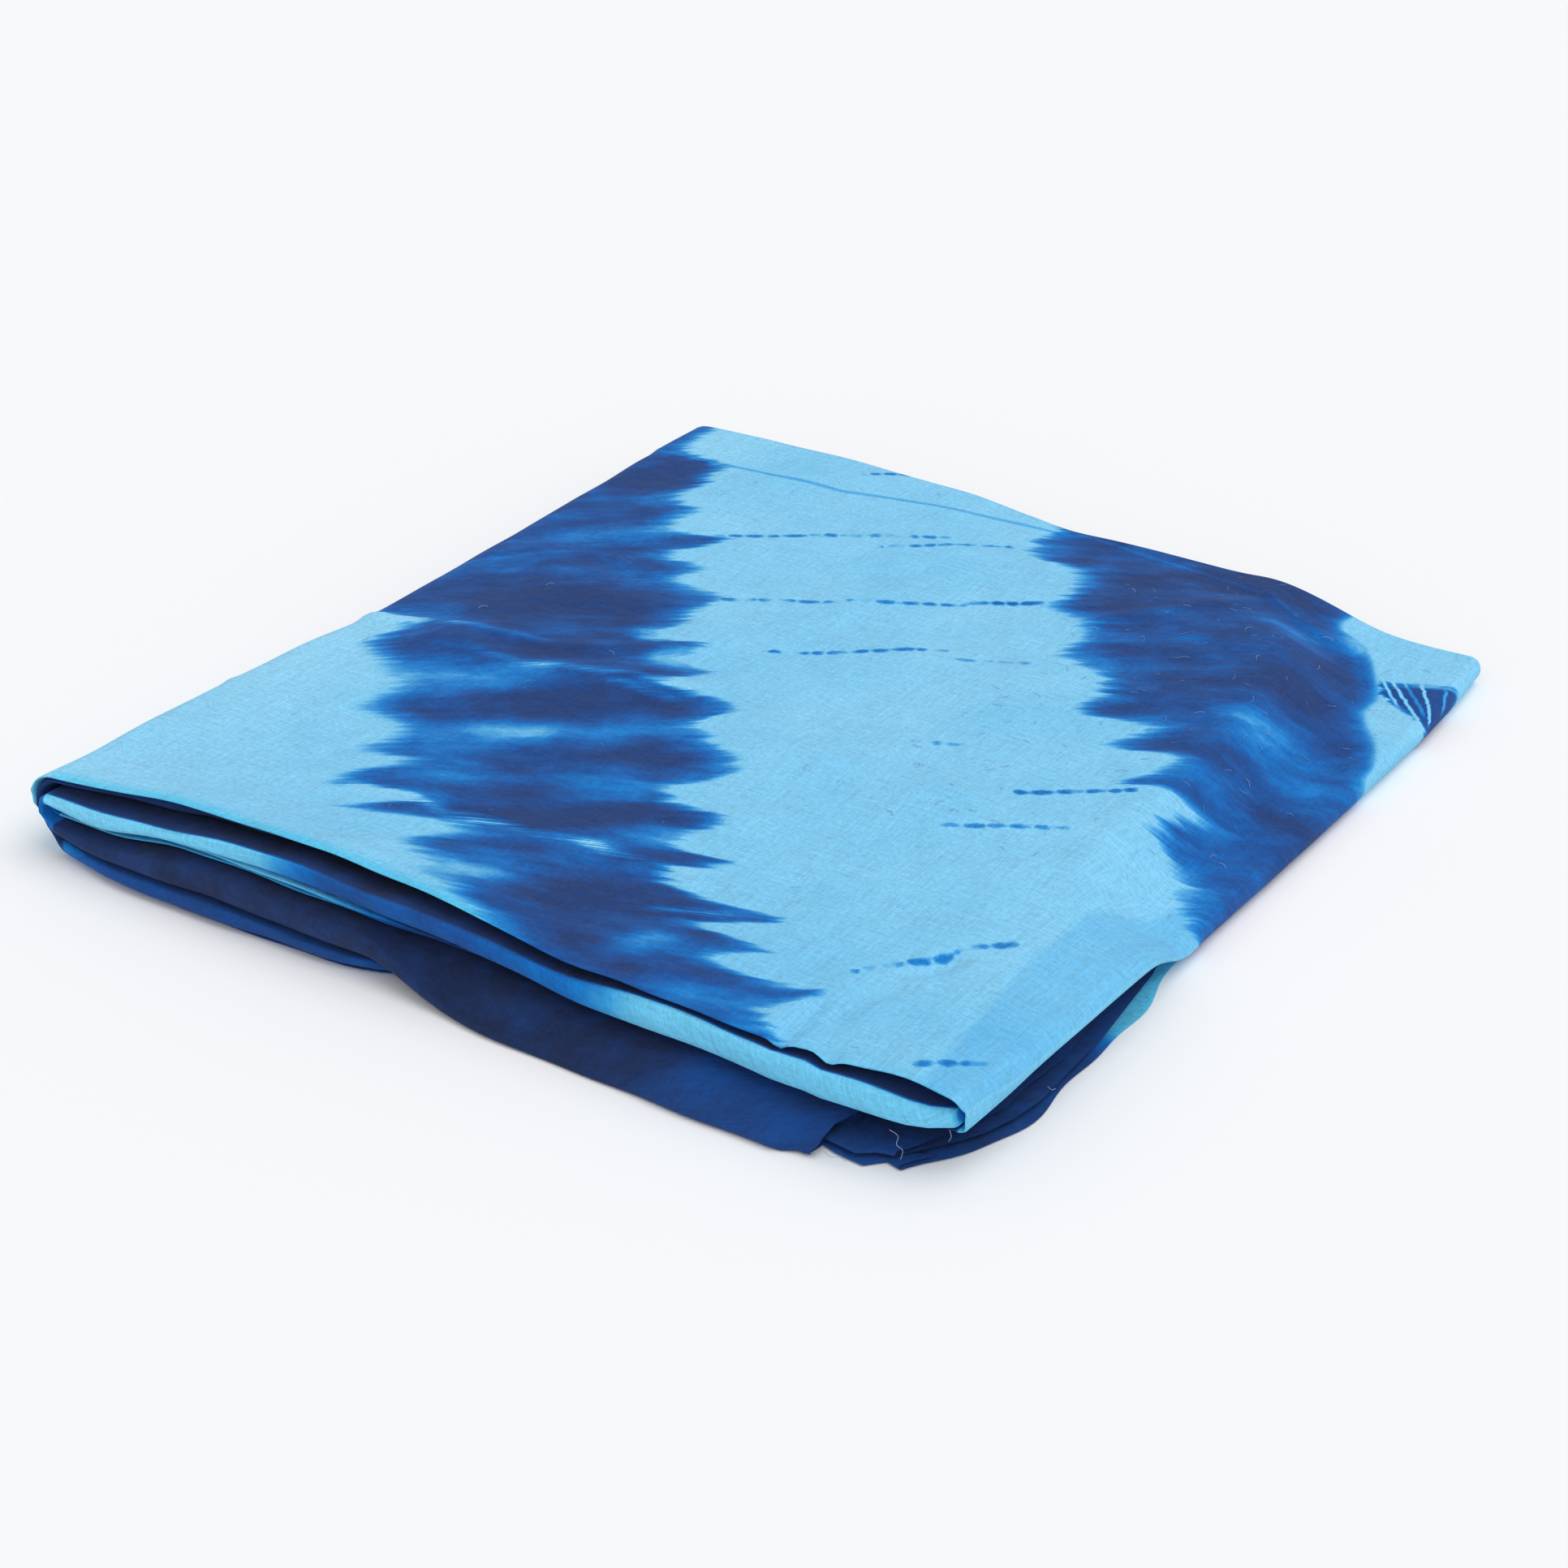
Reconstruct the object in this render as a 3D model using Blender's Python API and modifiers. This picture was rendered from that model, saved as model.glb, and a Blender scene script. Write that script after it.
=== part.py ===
"""Shibori dyed cotton cloth, folded into a flat pad that lies on a table.

The cloth is one rectangle. It is first pleated across its width into a strip
of three layers, like a letter: the first fold is at the back and the second
at the front. The strip is then folded in half twice along its length, which
makes four runs on top of each other:

    run      order of the layers, top to bottom      ends
    top      1, 2, 3                                 left bend, right bend
    second   3, 2, 1                                 right bend, inner left bend
    third    1, 2, 3                                 inner left bend, cut end
    bottom   3, 2, 1                                 cut end, left bend

Metres, +Z up. The origin is on the table under the middle of the pad, the
front is -Y and the long depth runs along Y.
"""
import math

import bpy
from mathutils import Vector

MM = 0.001

# Driving dimensions in millimetres
CLOTH_THICKNESS = 1.1
BOTTOM_LAYER_HEIGHT = 0.6
LAYERS = 12
TOP_LEVEL = LAYERS - 1
LEFT_BEND_X = -188.5
RIGHT_BEND_X = 184.0
FRONT_Y = -203.0
BACK_Y = 207.0
BEND_WIDTH = 2.1
CORE_HEIGHT = 29.5
SMALLEST_FOLD = 1.5
FRONT_BLEND = 46.0
REACH_BLEND = 80.0
SLOPE_LAYER_PITCH = 1.87

# Rows of points from the front edge to the back edge, as distances from the front
DEPTH_ROWS = (0, 6, 14, 30, 66, 112, 132, 156, 225, 305, 372, 410)
FOLD_ANGLES = (40, 90, 140)

# Rows of points along a run, as parts of its length from left to right
UPPER_ROWS = (0, 0.05, 0.12, 0.21, 0.31, 0.41, 0.50, 0.59, 0.68, 0.76, 0.83, 0.89, 0.95, 1)
LOWER_ROWS = (0, 0.05, 0.12, 0.21, 0.31, 0.41, 0.455, 0.50, 0.62, 0.80, 1)
LEFT_BEND_ANGLES = (-62, -32, 0, 32, 62)
INNER_BEND_ANGLES = (50, 0, -50)

# Heights of the twelve layers at the front edge, bottom layer last.
# The top run shows its free edge (lip) over its own fold (mouth), then come the
# light fold of the second run (band), two free edges, the dark fold of the third
# run (bulge), the fold of the bottom run (low) and the free edge on the table.
FRONT_COLUMNS = ("x", "lip", "mouth_top", "mouth_low", "band_top", "band_low", "edge_two",
                 "edge_three", "bulge_top", "bulge_low", "low_top", "low_low", "floor")
FRONT_HEIGHTS = (
    (-192, 29.0, 27.2, 25.4, 23.4, 20.2, 18.4, 15.8, 14.0, 9.3, 7.4, 2.3, 0.6),
    (-165, 31.5, 29.4, 27.2, 24.6, 18.2, 16.4, 14.6, 12.6, 8.2, 6.4, 2.3, 0.6),
    (-136, 35.6, 32.6, 29.5, 26.4, 23.4, 21.4, 19.2, 16.8, 8.9, 7.1, 2.3, 0.6),
    (-110, 37.6, 35.4, 33.2, 31.0, 26.6, 24.8, 22.6, 20.6, 9.0, 7.1, 2.3, 0.6),
    (-72, 38.0, 35.6, 33.3, 31.0, 24.8, 21.6, 19.8, 17.4, 8.3, 6.6, 2.3, 0.6),
    (-36, 35.4, 33.4, 31.4, 29.4, 23.2, 20.9, 19.2, 16.9, 8.6, 6.2, 2.3, 0.6),
    (-19, 34.8, 32.9, 30.9, 29.0, 22.4, 20.4, 18.6, 16.3, 7.4, 4.6, 2.3, 0.6),
    (-6, 34.2, 32.3, 30.4, 28.6, 21.7, 19.9, 18.1, 15.8, 6.6, 4.6, 2.3, 0.6),
    (22, 30.6, 28.9, 27.6, 26.2, 19.6, 17.8, 16.1, 14.1, 5.9, 4.1, 2.3, 0.6),
    (46, 28.6, 27.1, 25.7, 24.3, 16.6, 15.0, 13.5, 12.0, 5.9, 4.1, 2.3, 0.6),
    (64, 29.4, 28.6, 27.8, 27.0, 16.4, 14.9, 13.4, 11.9, 5.9, 4.1, 2.3, 0.6),
    (92, 29.2, 28.3, 27.5, 26.6, 16.6, 15.0, 13.5, 12.0, 5.9, 4.1, 2.3, 0.6),
    (122, 28.2, 27.2, 26.2, 25.2, 14.6, 13.2, 11.7, 10.3, 5.9, 4.1, 2.3, 0.6),
    (146, 29.0, 27.8, 26.6, 25.4, 14.3, 12.8, 11.3, 9.8, 5.7, 4.0, 2.3, 0.6),
    (172, 31.8, 29.2, 26.6, 24.0, 14.8, 12.8, 11.0, 9.4, 5.7, 4.0, 2.3, 0.6),
    (190, 31.5, 29.2, 26.8, 24.2, 16.6, 13.8, 11.0, 9.4, 5.7, 4.0, 2.3, 0.6),
)

# Where each of those edges lies across the depth
REACH_COLUMNS = ("x", "lip", "mouth", "band", "edge_two", "edge_three", "bulge", "low", "floor")
FRONT_REACHES = (
    (-192, -200, -197, -202, -201, -200, -203, -202, -200),
    (-165, -198, -192, -203, -200, -199, -206, -208, -207),
    (-110, -197, -190, -202, -202, -200, -207, -209, -208),
    (-54, -197, -189, -202, -202, -200, -207, -208, -207),
    (-36, -197, -189, -202, -202, -200, -207, -204, -203),
    (-19, -198, -188, -202, -201, -199, -209, -193, -194),
    (10, -199, -186, -202, -198, -196, -213, -193, -194),
    (45, -201, -180, -202, -195, -192, -215, -193, -194),
    (100, -202, -176, -203, -194, -191, -217, -193, -194),
    (140, -202, -178, -203, -193, -190, -217, -194, -195),
    (152, -202, -181, -203, -193, -190, -217, -196, -198),
    (165, -201, -189, -203, -193, -190, -215, -202, -205),
    (190, -201, -197, -202, -197, -194, -206, -202, -205),
)

# The dark fold spills forward off the pile on to the table (0 not at all, 1 fully).
# Its underside leaves the table, and its face comes back to the pile, over these depths.
SPILL_UNDERSIDE = (5, 14)
SPILL_FACE = (-2, 15)
SPILL_EDGE_HEIGHT = 3.4
SPILL = ((-192, 0), (-36, 0), (-19, 0.5), (-3, 1), (190, 1))

# Height of the top layer along the back edge, and how far back the edge reaches
BACK_COLUMNS = ("x", "top", "reach")
BACK_EDGE = (
    (-192, 27.5, 211),
    (-130, 28.5, 210),
    (-52, 27.0, 208),
    (2, 22.5, 206),
    (79, 21.0, 206),
    (122, 20.0, 207),
    (155, 14.5, 207),
    (190, 10.0, 207),
)

# Height of the top layer along the left bend, how far in the bend sits, and how
# far the bottom of the bend is tucked in under it
LEFT_COLUMNS = ("y", "top", "shift", "tuck")
LEFT_EDGE = (
    (-205, 29.0, -2.0, 11.5),
    (-150, 30.0, 0.0, 10.0),
    (-92, 27.5, 2.5, 8.0),
    (-20, 24.0, 7.5, 5.0),
    (75, 24.0, 8.5, 4.0),
    (140, 25.5, 6.5, 4.0),
    (211, 27.5, 3.0, 3.0),
)
LEFT_TUCK_LEVEL = 7.5
LEFT_TUCK_DEPTH = 70.0

# The right side: the bend of the upper six layers, then where the slope to the
# table starts, how much of it there is, and where the two lower runs are cut off
RIGHT_COLUMNS = ("y", "shift", "top", "slope_start", "slope", "third_end", "bottom_end")
RIGHT_EDGE = (
    (-219, -3.0, 30.0, 150, 0, 146, 156),
    (-205, -3.0, 30.5, 150, 0, 147, 157),
    (-196, -1.0, 30.5, 150, 0, 162, 177),
    (-165, 1.5, 30.0, 150, 0, 182, 192),
    (-120, 3.0, 28.5, 150, 0, 183, 190),
    (-92, 4.5, 27.5, 150, 0, 179, 187),
    (-71, 4.5, 23.0, 148, 0.15, 143, 148),
    (-47, 1.0, 13.0, 146, 0.88, 136, 139),
    (-30, -1.0, 10.8, 146, 1, 135, 138),
    (40, 1.0, 10.6, 144, 1, 133, 136),
    (105, 2.5, 10.6, 140, 1, 129, 132),
    (150, 3.0, 10.6, 126, 1, 115, 118),
    (178, 2.5, 10.6, 102, 1, 93, 96),
    (211, 0.0, 10.6, 90, 1, 81, 84),
)
RUN_SQUEEZE_START = 40.0

# Soft ridges (positive) and troughs (negative) that run across the top layers
CREASE_COLUMNS = ("start_x", "start_y", "end_x", "end_y", "height", "width")
TOP_CREASES = (
    (-176, -32, -60, -18, 1.4, 26),
    (-60, -18, 20, -40, 1.2, 24),
    (20, -40, 190, -56, 1.5, 26),
    (-120, -95, 40, -120, -1.3, 40),
    (-110, 70, 60, 110, -1.6, 48),
    (-170, 178, 110, 186, 0.9, 14),
    (40, -165, 110, -120, -1.4, 26),
    (70, 30, 110, 150, 1.0, 40),
)


def smooth(low, high, value):
    """Ease from 0 at low to 1 at high."""
    part = min(max((value - low) / (high - low), 0.0), 1.0)
    return part * part * (3.0 - 2.0 * part)


def mix(first, second, part):
    """Value that lies the given part of the way from first to second."""
    return first + (second - first) * part


def read_row(table, place):
    """Row of a table at a place between two of its rows."""
    if place <= table[0][0]:
        return table[0][1:]
    for before, after in zip(table, table[1:]):
        if place <= after[0]:
            part = (place - before[0]) / (after[0] - before[0])
            return tuple(mix(a, b, part) for a, b in zip(before[1:], after[1:]))
    return table[-1][1:]


def named_row(columns, table, place):
    """The same row, as a dictionary of its column names."""
    return dict(zip(columns[1:], read_row(table, place)))


def crease_height(x, y):
    """Sum of the soft ridges and troughs at a point of the top."""
    total = 0.0
    for row in TOP_CREASES:
        crease = dict(zip(CREASE_COLUMNS, row))
        start = Vector((crease["start_x"], crease["start_y"]))
        along = Vector((crease["end_x"], crease["end_y"])) - start
        part = (Vector((x, y)) - start).dot(along) / along.length_squared
        nearest = start + along * min(max(part, 0.0), 1.0)
        distance = (Vector((x, y)) - nearest).length
        total += crease["height"] * math.exp(-((distance / crease["width"]) ** 2))
    return total


def top_height(x, y):
    """Height of the top layer away from the front edge."""
    height = CORE_HEIGHT + crease_height(x, y)
    back = named_row(BACK_COLUMNS, BACK_EDGE, x)
    height = mix(back["top"], height, smooth(0, 75, BACK_Y - y))
    left = named_row(LEFT_COLUMNS, LEFT_EDGE, y)
    height = mix(left["top"], height, smooth(0, 55, x - LEFT_BEND_X))
    right = named_row(RIGHT_COLUMNS, RIGHT_EDGE, y)
    height = mix(height, right["top"], smooth(right["slope_start"], RIGHT_BEND_X, x))
    return height


def level_heights(x, y):
    """Heights of the twelve layers at a point, bottom layer first."""
    top = top_height(x, y)
    even = [mix(BOTTOM_LAYER_HEIGHT, top, level / TOP_LEVEL) for level in range(LAYERS)]
    right = named_row(RIGHT_COLUMNS, RIGHT_EDGE, y)
    slope = right["slope"] * smooth(right["slope_start"], RIGHT_BEND_X, x)
    upper_start = LAYERS // 2
    for level in range(LAYERS):
        low = BOTTOM_LAYER_HEIGHT + max(level - upper_start, 0) * SLOPE_LAYER_PITCH
        even[level] = mix(even[level], low, slope)
    front = list(reversed(read_row(FRONT_HEIGHTS, x)))
    away = smooth(FRONT_Y, FRONT_Y + FRONT_BLEND, y)
    return [mix(a, b, away) for a, b in zip(front, even)]


def height_at(level, x, y, depth):
    """Height of a point between two levels of the pile."""
    heights = level_heights(x, y)
    below = min(max(int(level), 0), TOP_LEVEL - 1)
    height = mix(heights[below], heights[below + 1], level - below)
    spill = read_row(SPILL, x)[0]
    if 2.5 < level < 4.6:
        upper_side = smooth(3, 4, level)
        dropped = mix(BOTTOM_LAYER_HEIGHT, min(height, SPILL_EDGE_HEIGHT), upper_side)
        settled = mix(smooth(*SPILL_UNDERSIDE, depth), smooth(*SPILL_FACE, depth), upper_side)
        height = mix(height, mix(dropped, height, settled), spill)
    return height


def section_points():
    """The pleat across the cloth: layer offset, distance from the front, and fold bulge."""
    back = DEPTH_ROWS[-1]
    points = [(1.0, depth, 0.0) for depth in DEPTH_ROWS]
    for angle in FOLD_ANGLES:
        turn = math.radians(angle)
        points.append((0.5 + 0.5 * math.cos(turn), back, math.sin(turn)))
    points += [(0.0, depth, 0.0) for depth in reversed(DEPTH_ROWS)]
    for angle in FOLD_ANGLES:
        turn = math.radians(angle)
        points.append((-0.5 + 0.5 * math.cos(turn), 0, math.sin(turn)))
    points += [(-1.0, depth, 0.0) for depth in DEPTH_ROWS]
    return points


def path_points():
    """The strip along the cloth: kind of stretch, its parameter, and the two runs it joins."""
    points = [("bottom", part) for part in reversed(LOWER_ROWS)]
    points += [("left_bend", angle) for angle in LEFT_BEND_ANGLES]
    points += [("top", part) for part in UPPER_ROWS]
    points += [("right_bend", angle) for angle in INNER_BEND_ANGLES]
    points += [("second", part) for part in reversed(UPPER_ROWS)]
    points += [("inner_bend", angle) for angle in INNER_BEND_ANGLES]
    points += [("third", part) for part in LOWER_ROWS]
    return points


# Middle level of each run, and the side on which layer 1 lies
RUN_LEVELS = {"bottom": (1, -1), "top": (10, 1), "second": (7, -1), "third": (4, 1)}
# Middle level and radius of each bend in levels, growth with the layer offset, its two runs
BENDS = {
    "left_bend": (5.5, 4.5, 1, -1, "bottom", "top"),
    "right_bend": (8.5, 1.5, 1, 1, "second", "top"),
    "inner_bend": (5.5, 1.5, -1, -1, "third", "second"),
}
EDGE_OF_RUN = {"bottom": ("floor", "low"), "top": ("lip", "mouth"),
               "second": ("edge_two", "band"), "third": ("edge_three", "bulge")}


def front_reach(stretch, place, x, fold_side):
    """Where the front edge of a stretch lies; fold_side is 0 for layer 1, 1 for layers 2 and 3."""
    reaches = named_row(REACH_COLUMNS, FRONT_REACHES, x)
    if stretch in RUN_LEVELS:
        return reaches[EDGE_OF_RUN[stretch][fold_side]]
    lower, upper = BENDS[stretch][4:]
    part = smooth(-90, 90, place)
    return mix(reaches[EDGE_OF_RUN[lower][fold_side]], reaches[EDGE_OF_RUN[upper][fold_side]], part)


def plan_point(stretch, place, offset):
    """Position along the strip and level in the pile, before the edges are shaped."""
    if stretch in RUN_LEVELS:
        middle, side = RUN_LEVELS[stretch]
        return mix(LEFT_BEND_X, RIGHT_BEND_X, place), middle + side * offset
    middle, radius, growth, side = BENDS[stretch][:4]
    radius += growth * offset
    turn = math.radians(place)
    bend_x = RIGHT_BEND_X if side > 0 else LEFT_BEND_X
    return bend_x + side * radius * BEND_WIDTH * math.cos(turn), middle + radius * math.sin(turn)


def cut_end(stretch, x, y):
    """Shorten the two lower runs to their cut ends on the right."""
    if stretch not in ("third", "bottom") or x < RUN_SQUEEZE_START:
        return x
    end = named_row(RIGHT_COLUMNS, RIGHT_EDGE, y)[stretch + "_end"]
    return RUN_SQUEEZE_START + (x - RUN_SQUEEZE_START) * (
        (end - RUN_SQUEEZE_START) / (RIGHT_BEND_X - RUN_SQUEEZE_START))


def cloth_point(stretch, place, offset, depth, bulge):
    """One point of the folded cloth, in millimetres."""
    x, level = plan_point(stretch, place, offset)
    fold_side = 0 if offset > 0.5 else 1
    reach_x = cut_end(stretch, x, FRONT_Y + depth)
    front = front_reach(stretch, place, reach_x, fold_side) - FRONT_Y
    back = named_row(BACK_COLUMNS, BACK_EDGE, x)["reach"] - BACK_Y
    y = FRONT_Y + depth
    y += front * (1 - smooth(0, REACH_BLEND, depth)) + back * smooth(250, DEPTH_ROWS[-1], depth)
    x = cut_end(stretch, x, y)
    heights = level_heights(x, y)
    if bulge:
        lower = int(min(level, TOP_LEVEL - 0.001))
        gap = heights[min(lower + 1, TOP_LEVEL)] - heights[lower]
        reach = max(SMALLEST_FOLD, 0.24 * gap) * bulge
        y += reach if depth > 0 else -reach
    z = height_at(level, x, y, depth)
    left = named_row(LEFT_COLUMNS, LEFT_EDGE, y)
    near_left = 1 - smooth(LEFT_BEND_X, LEFT_BEND_X + LEFT_TUCK_DEPTH, x)
    tuck = left["tuck"] * max(0.0, 1 - level / LEFT_TUCK_LEVEL) ** 1.5
    near_right = smooth(RIGHT_BEND_X - LEFT_TUCK_DEPTH, RIGHT_BEND_X, x)
    right = named_row(RIGHT_COLUMNS, RIGHT_EDGE, y)
    x += near_left * (left["shift"] + tuck) + near_right * right["shift"]
    return x, y, z


def make_cloth(collection):
    """The folded sheet as one grid of points, given its thickness by Solidify.

    Every cell is split along the same diagonal of the plan, so that the layers
    stay parallel where they twist.
    """
    across = section_points()
    along = path_points()
    points = []
    for stretch, place in along:
        for offset, depth, bulge in across:
            points.append(Vector(cloth_point(stretch, place, offset, depth, bulge)))
    middle_x = (min(point.x for point in points) + max(point.x for point in points)) / 2
    middle_y = (min(point.y for point in points) + max(point.y for point in points)) / 2
    lift = CLOTH_THICKNESS / 2 - BOTTOM_LAYER_HEIGHT
    points = [(point + Vector((-middle_x, -middle_y, lift))) * MM for point in points]
    wide = len(across)
    faces = []
    for row in range(len(along) - 1):
        for column in range(wide - 1):
            near = row * wide + column
            far = near + wide
            goes_right = points[far][0] > points[near][0]
            goes_back = points[near + 1][1] > points[near][1]
            if goes_right == goes_back:
                faces += [(near, far, far + 1), (near, far + 1, near + 1)]
            else:
                faces += [(near, far, near + 1), (far, far + 1, near + 1)]
    mesh = bpy.data.meshes.new("cloth")
    mesh.from_pydata(points, [], faces)
    mesh.shade_smooth()
    cloth = bpy.data.objects.new("cloth", mesh)
    collection.objects.link(cloth)
    thickness = cloth.modifiers.new("Cloth thickness", "SOLIDIFY")
    thickness.thickness = CLOTH_THICKNESS * MM
    thickness.offset = 0.0
    thickness.use_even_offset = False
    return cloth


def dyed_cotton():
    """Plain material in the colour of the dyed cotton."""
    material = bpy.data.materials.new("Dyed cotton")
    material.use_nodes = True
    shader = material.node_tree.nodes["Principled BSDF"]
    shader.inputs["Base Color"].default_value = (0.10, 0.33, 0.70, 1.0)
    shader.inputs["Roughness"].default_value = 0.85
    shader.inputs["Metallic"].default_value = 0.0
    return material


for item in list(bpy.data.objects):
    bpy.data.objects.remove(item, do_unlink=True)

part_collection = bpy.data.collections.new("Shibori dyed cloth")
bpy.context.scene.collection.children.link(part_collection)
cloth_object = make_cloth(part_collection)
cloth_object.data.materials.append(dyed_cotton())
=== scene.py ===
"""Shibori dyed cotton cloth folded into a flat pad: how the part looks.

Metres, +Z up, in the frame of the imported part. Tables are in millimetres.
"""
import math

import bpy
import numpy as np
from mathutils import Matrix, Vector


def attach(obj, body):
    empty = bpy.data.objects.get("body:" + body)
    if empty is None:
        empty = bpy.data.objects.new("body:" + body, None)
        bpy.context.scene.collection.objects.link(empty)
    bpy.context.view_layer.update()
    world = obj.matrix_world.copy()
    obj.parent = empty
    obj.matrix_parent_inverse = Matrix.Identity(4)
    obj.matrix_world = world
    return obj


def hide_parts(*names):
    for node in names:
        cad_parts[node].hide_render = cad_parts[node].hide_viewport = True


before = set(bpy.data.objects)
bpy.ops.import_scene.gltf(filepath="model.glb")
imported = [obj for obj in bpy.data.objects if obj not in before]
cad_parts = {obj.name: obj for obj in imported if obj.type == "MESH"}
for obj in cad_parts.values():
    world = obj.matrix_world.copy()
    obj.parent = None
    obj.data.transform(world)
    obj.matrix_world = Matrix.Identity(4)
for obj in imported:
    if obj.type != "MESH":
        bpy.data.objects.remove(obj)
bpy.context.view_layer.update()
MM = 0.001

# Camera
# Stands at the height of a person by the table and looks down on the front right
# corner of the pad.
CAMERA_PLACE = (0.5611, -0.8712, 0.5464)
CAMERA_TARGET = (0.0053, -0.0120, 0.0)
SENSOR_WIDTH = 36.0
FOCAL_LENGTH = 70.81

camera_data = bpy.data.cameras.new("Camera")
camera_data.sensor_width = SENSOR_WIDTH
camera_data.lens = FOCAL_LENGTH
camera = bpy.data.objects.new("Camera", camera_data)
camera.location = CAMERA_PLACE
look = Vector(CAMERA_TARGET) - Vector(CAMERA_PLACE)
camera.rotation_euler = look.to_track_quat("-Z", "Y").to_euler()
bpy.context.scene.collection.objects.link(camera)
bpy.context.scene.camera = camera


# Dyed cloth, the folds
# One rectangle of plain woven cotton, hemmed along its long edges, pleated into
# a strip of three layers and folded in half twice along the strip. It is laid on
# the folds of its solid, as a thin sheet with its own creases.
LAYERS = 12
TOP_LEVEL = LAYERS - 1
BOTTOM_LAYER_HEIGHT = 0.6
LEFT_BEND_X = -188.5
RIGHT_BEND_X = 184.0
FRONT_Y = -203.0
BACK_Y = 207.0
DEPTH = BACK_Y - FRONT_Y
BEND_WIDTH = 2.1
CORE_HEIGHT = 29.5
SMALLEST_FOLD = 1.5
FOLD_BULGE = 0.24
FRONT_BLEND = 46.0
REACH_BLEND = 80.0
BACK_BLEND_START = 250.0
SLOPE_LAYER_PITCH = 1.87
TABLE_TO_FRAME = (3.28, 3.0, -0.05)
ROUNDING = 6
CURVE_MARGIN = 60.0

FRONT_COLUMNS = ("x", "lip", "mouth_top", "mouth_low", "band_top", "band_low", "edge_two",
                 "edge_three", "bulge_top", "bulge_low", "low_top", "low_low", "floor")
FRONT_HEIGHTS = (
    (-192, 29.0, 27.2, 25.4, 23.4, 20.2, 18.4, 15.8, 14.0, 9.3, 7.4, 2.3, 0.6),
    (-165, 31.5, 29.4, 27.2, 24.4, 17.0, 15.4, 13.9, 12.4, 8.2, 6.4, 2.3, 0.6),
    (-136, 35.6, 32.6, 29.5, 26.4, 23.4, 21.4, 19.2, 16.8, 8.9, 7.1, 2.3, 0.6),
    (-110, 37.6, 35.0, 32.4, 29.8, 24.8, 22.8, 20.8, 18.8, 9.8, 7.8, 2.3, 0.6),
    (-72, 38.0, 35.6, 33.3, 31.0, 24.8, 21.6, 19.8, 17.4, 8.3, 6.6, 2.3, 0.6),
    (-36, 35.4, 33.4, 31.4, 29.4, 23.2, 20.9, 19.2, 16.9, 8.6, 6.2, 2.3, 0.6),
    (-19, 34.8, 32.9, 30.9, 29.0, 22.4, 20.4, 18.6, 16.3, 7.4, 4.6, 2.3, 0.6),
    (-6, 34.2, 32.3, 30.4, 28.6, 21.7, 19.9, 18.1, 15.8, 6.6, 4.6, 2.3, 0.6),
    (22, 30.6, 28.9, 27.6, 26.2, 19.6, 17.8, 16.1, 14.1, 5.9, 4.1, 2.3, 0.6),
    (46, 28.6, 27.1, 25.7, 24.3, 16.6, 15.0, 13.5, 12.0, 5.9, 4.1, 2.3, 0.6),
    (64, 29.4, 28.6, 27.8, 27.0, 16.4, 14.9, 13.4, 11.9, 5.9, 4.1, 2.3, 0.6),
    (92, 29.2, 28.3, 27.5, 26.6, 16.6, 15.0, 13.5, 12.0, 5.9, 4.1, 2.3, 0.6),
    (122, 28.2, 27.2, 26.2, 25.2, 14.6, 13.2, 11.7, 10.3, 5.9, 4.1, 2.3, 0.6),
    (146, 29.0, 27.8, 26.6, 25.4, 14.3, 12.8, 11.3, 9.8, 5.7, 4.0, 2.3, 0.6),
    (172, 31.8, 29.2, 26.6, 24.0, 14.8, 12.8, 11.0, 9.4, 5.7, 4.0, 2.3, 0.6),
    (190, 31.5, 29.2, 26.8, 24.2, 16.6, 13.8, 11.0, 9.4, 5.7, 4.0, 2.3, 0.6),
)
REACH_COLUMNS = ("x", "lip", "mouth", "band", "edge_two", "edge_three", "bulge", "low", "floor")
FRONT_REACHES = (
    (-192, -200, -197, -202, -201, -200, -203, -202, -200),
    (-165, -198, -192, -203, -200, -199, -206, -208, -207),
    (-110, -197, -190, -202, -202, -200, -207, -209, -208),
    (-54, -197, -189, -202, -202, -200, -207, -208, -207),
    (-36, -197, -189, -202, -202, -200, -207, -204, -203),
    (-19, -198, -188, -202, -201, -199, -209, -193, -194),
    (10, -199, -186, -202, -198, -196, -213, -193, -194),
    (45, -201, -180, -202, -195, -192, -215, -193, -194),
    (100, -202, -176, -203, -194, -191, -217, -193, -194),
    (128, -202, -177, -203, -193, -190, -217, -196, -197),
    (140, -202, -178, -203, -193, -190, -217, -206, -208),
    (157, -202, -182, -203, -193, -190, -217, -207, -210),
    (165, -201, -186, -203, -193, -190, -215, -208, -211),
    (174, -201, -185, -203, -195, -192, -212, -210, -212),
    (182, -201, -184, -200, -196, -193, -208, -203, -205),
    (190, -201, -183, -190, -197, -194, -206, -198, -200),
)
SPILL_UNDERSIDE = (5, 14)
SPILL_FACE = (-2, 15)
SPILL_EDGE_HEIGHT = 3.4
SPILL_LEVELS = (2.5, 4.6)
SPILL_SIDES = (3, 4)
SPILL_COLUMNS = ("x", "spill")
SPILL = ((-192, 0), (-36, 0), (-19, 0.5), (-3, 1), (190, 1))
BACK_COLUMNS = ("x", "top", "reach")
BACK_EDGE = (
    (-192, 28.0, 211),
    (-130, 29.5, 210),
    (-52, 28.5, 208),
    (2, 22.8, 206),
    (79, 23.0, 206),
    (122, 24.0, 207),
    (155, 20.0, 207),
    (190, 12.0, 207),
)
LEFT_COLUMNS = ("y", "top", "shift", "tuck")
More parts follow.
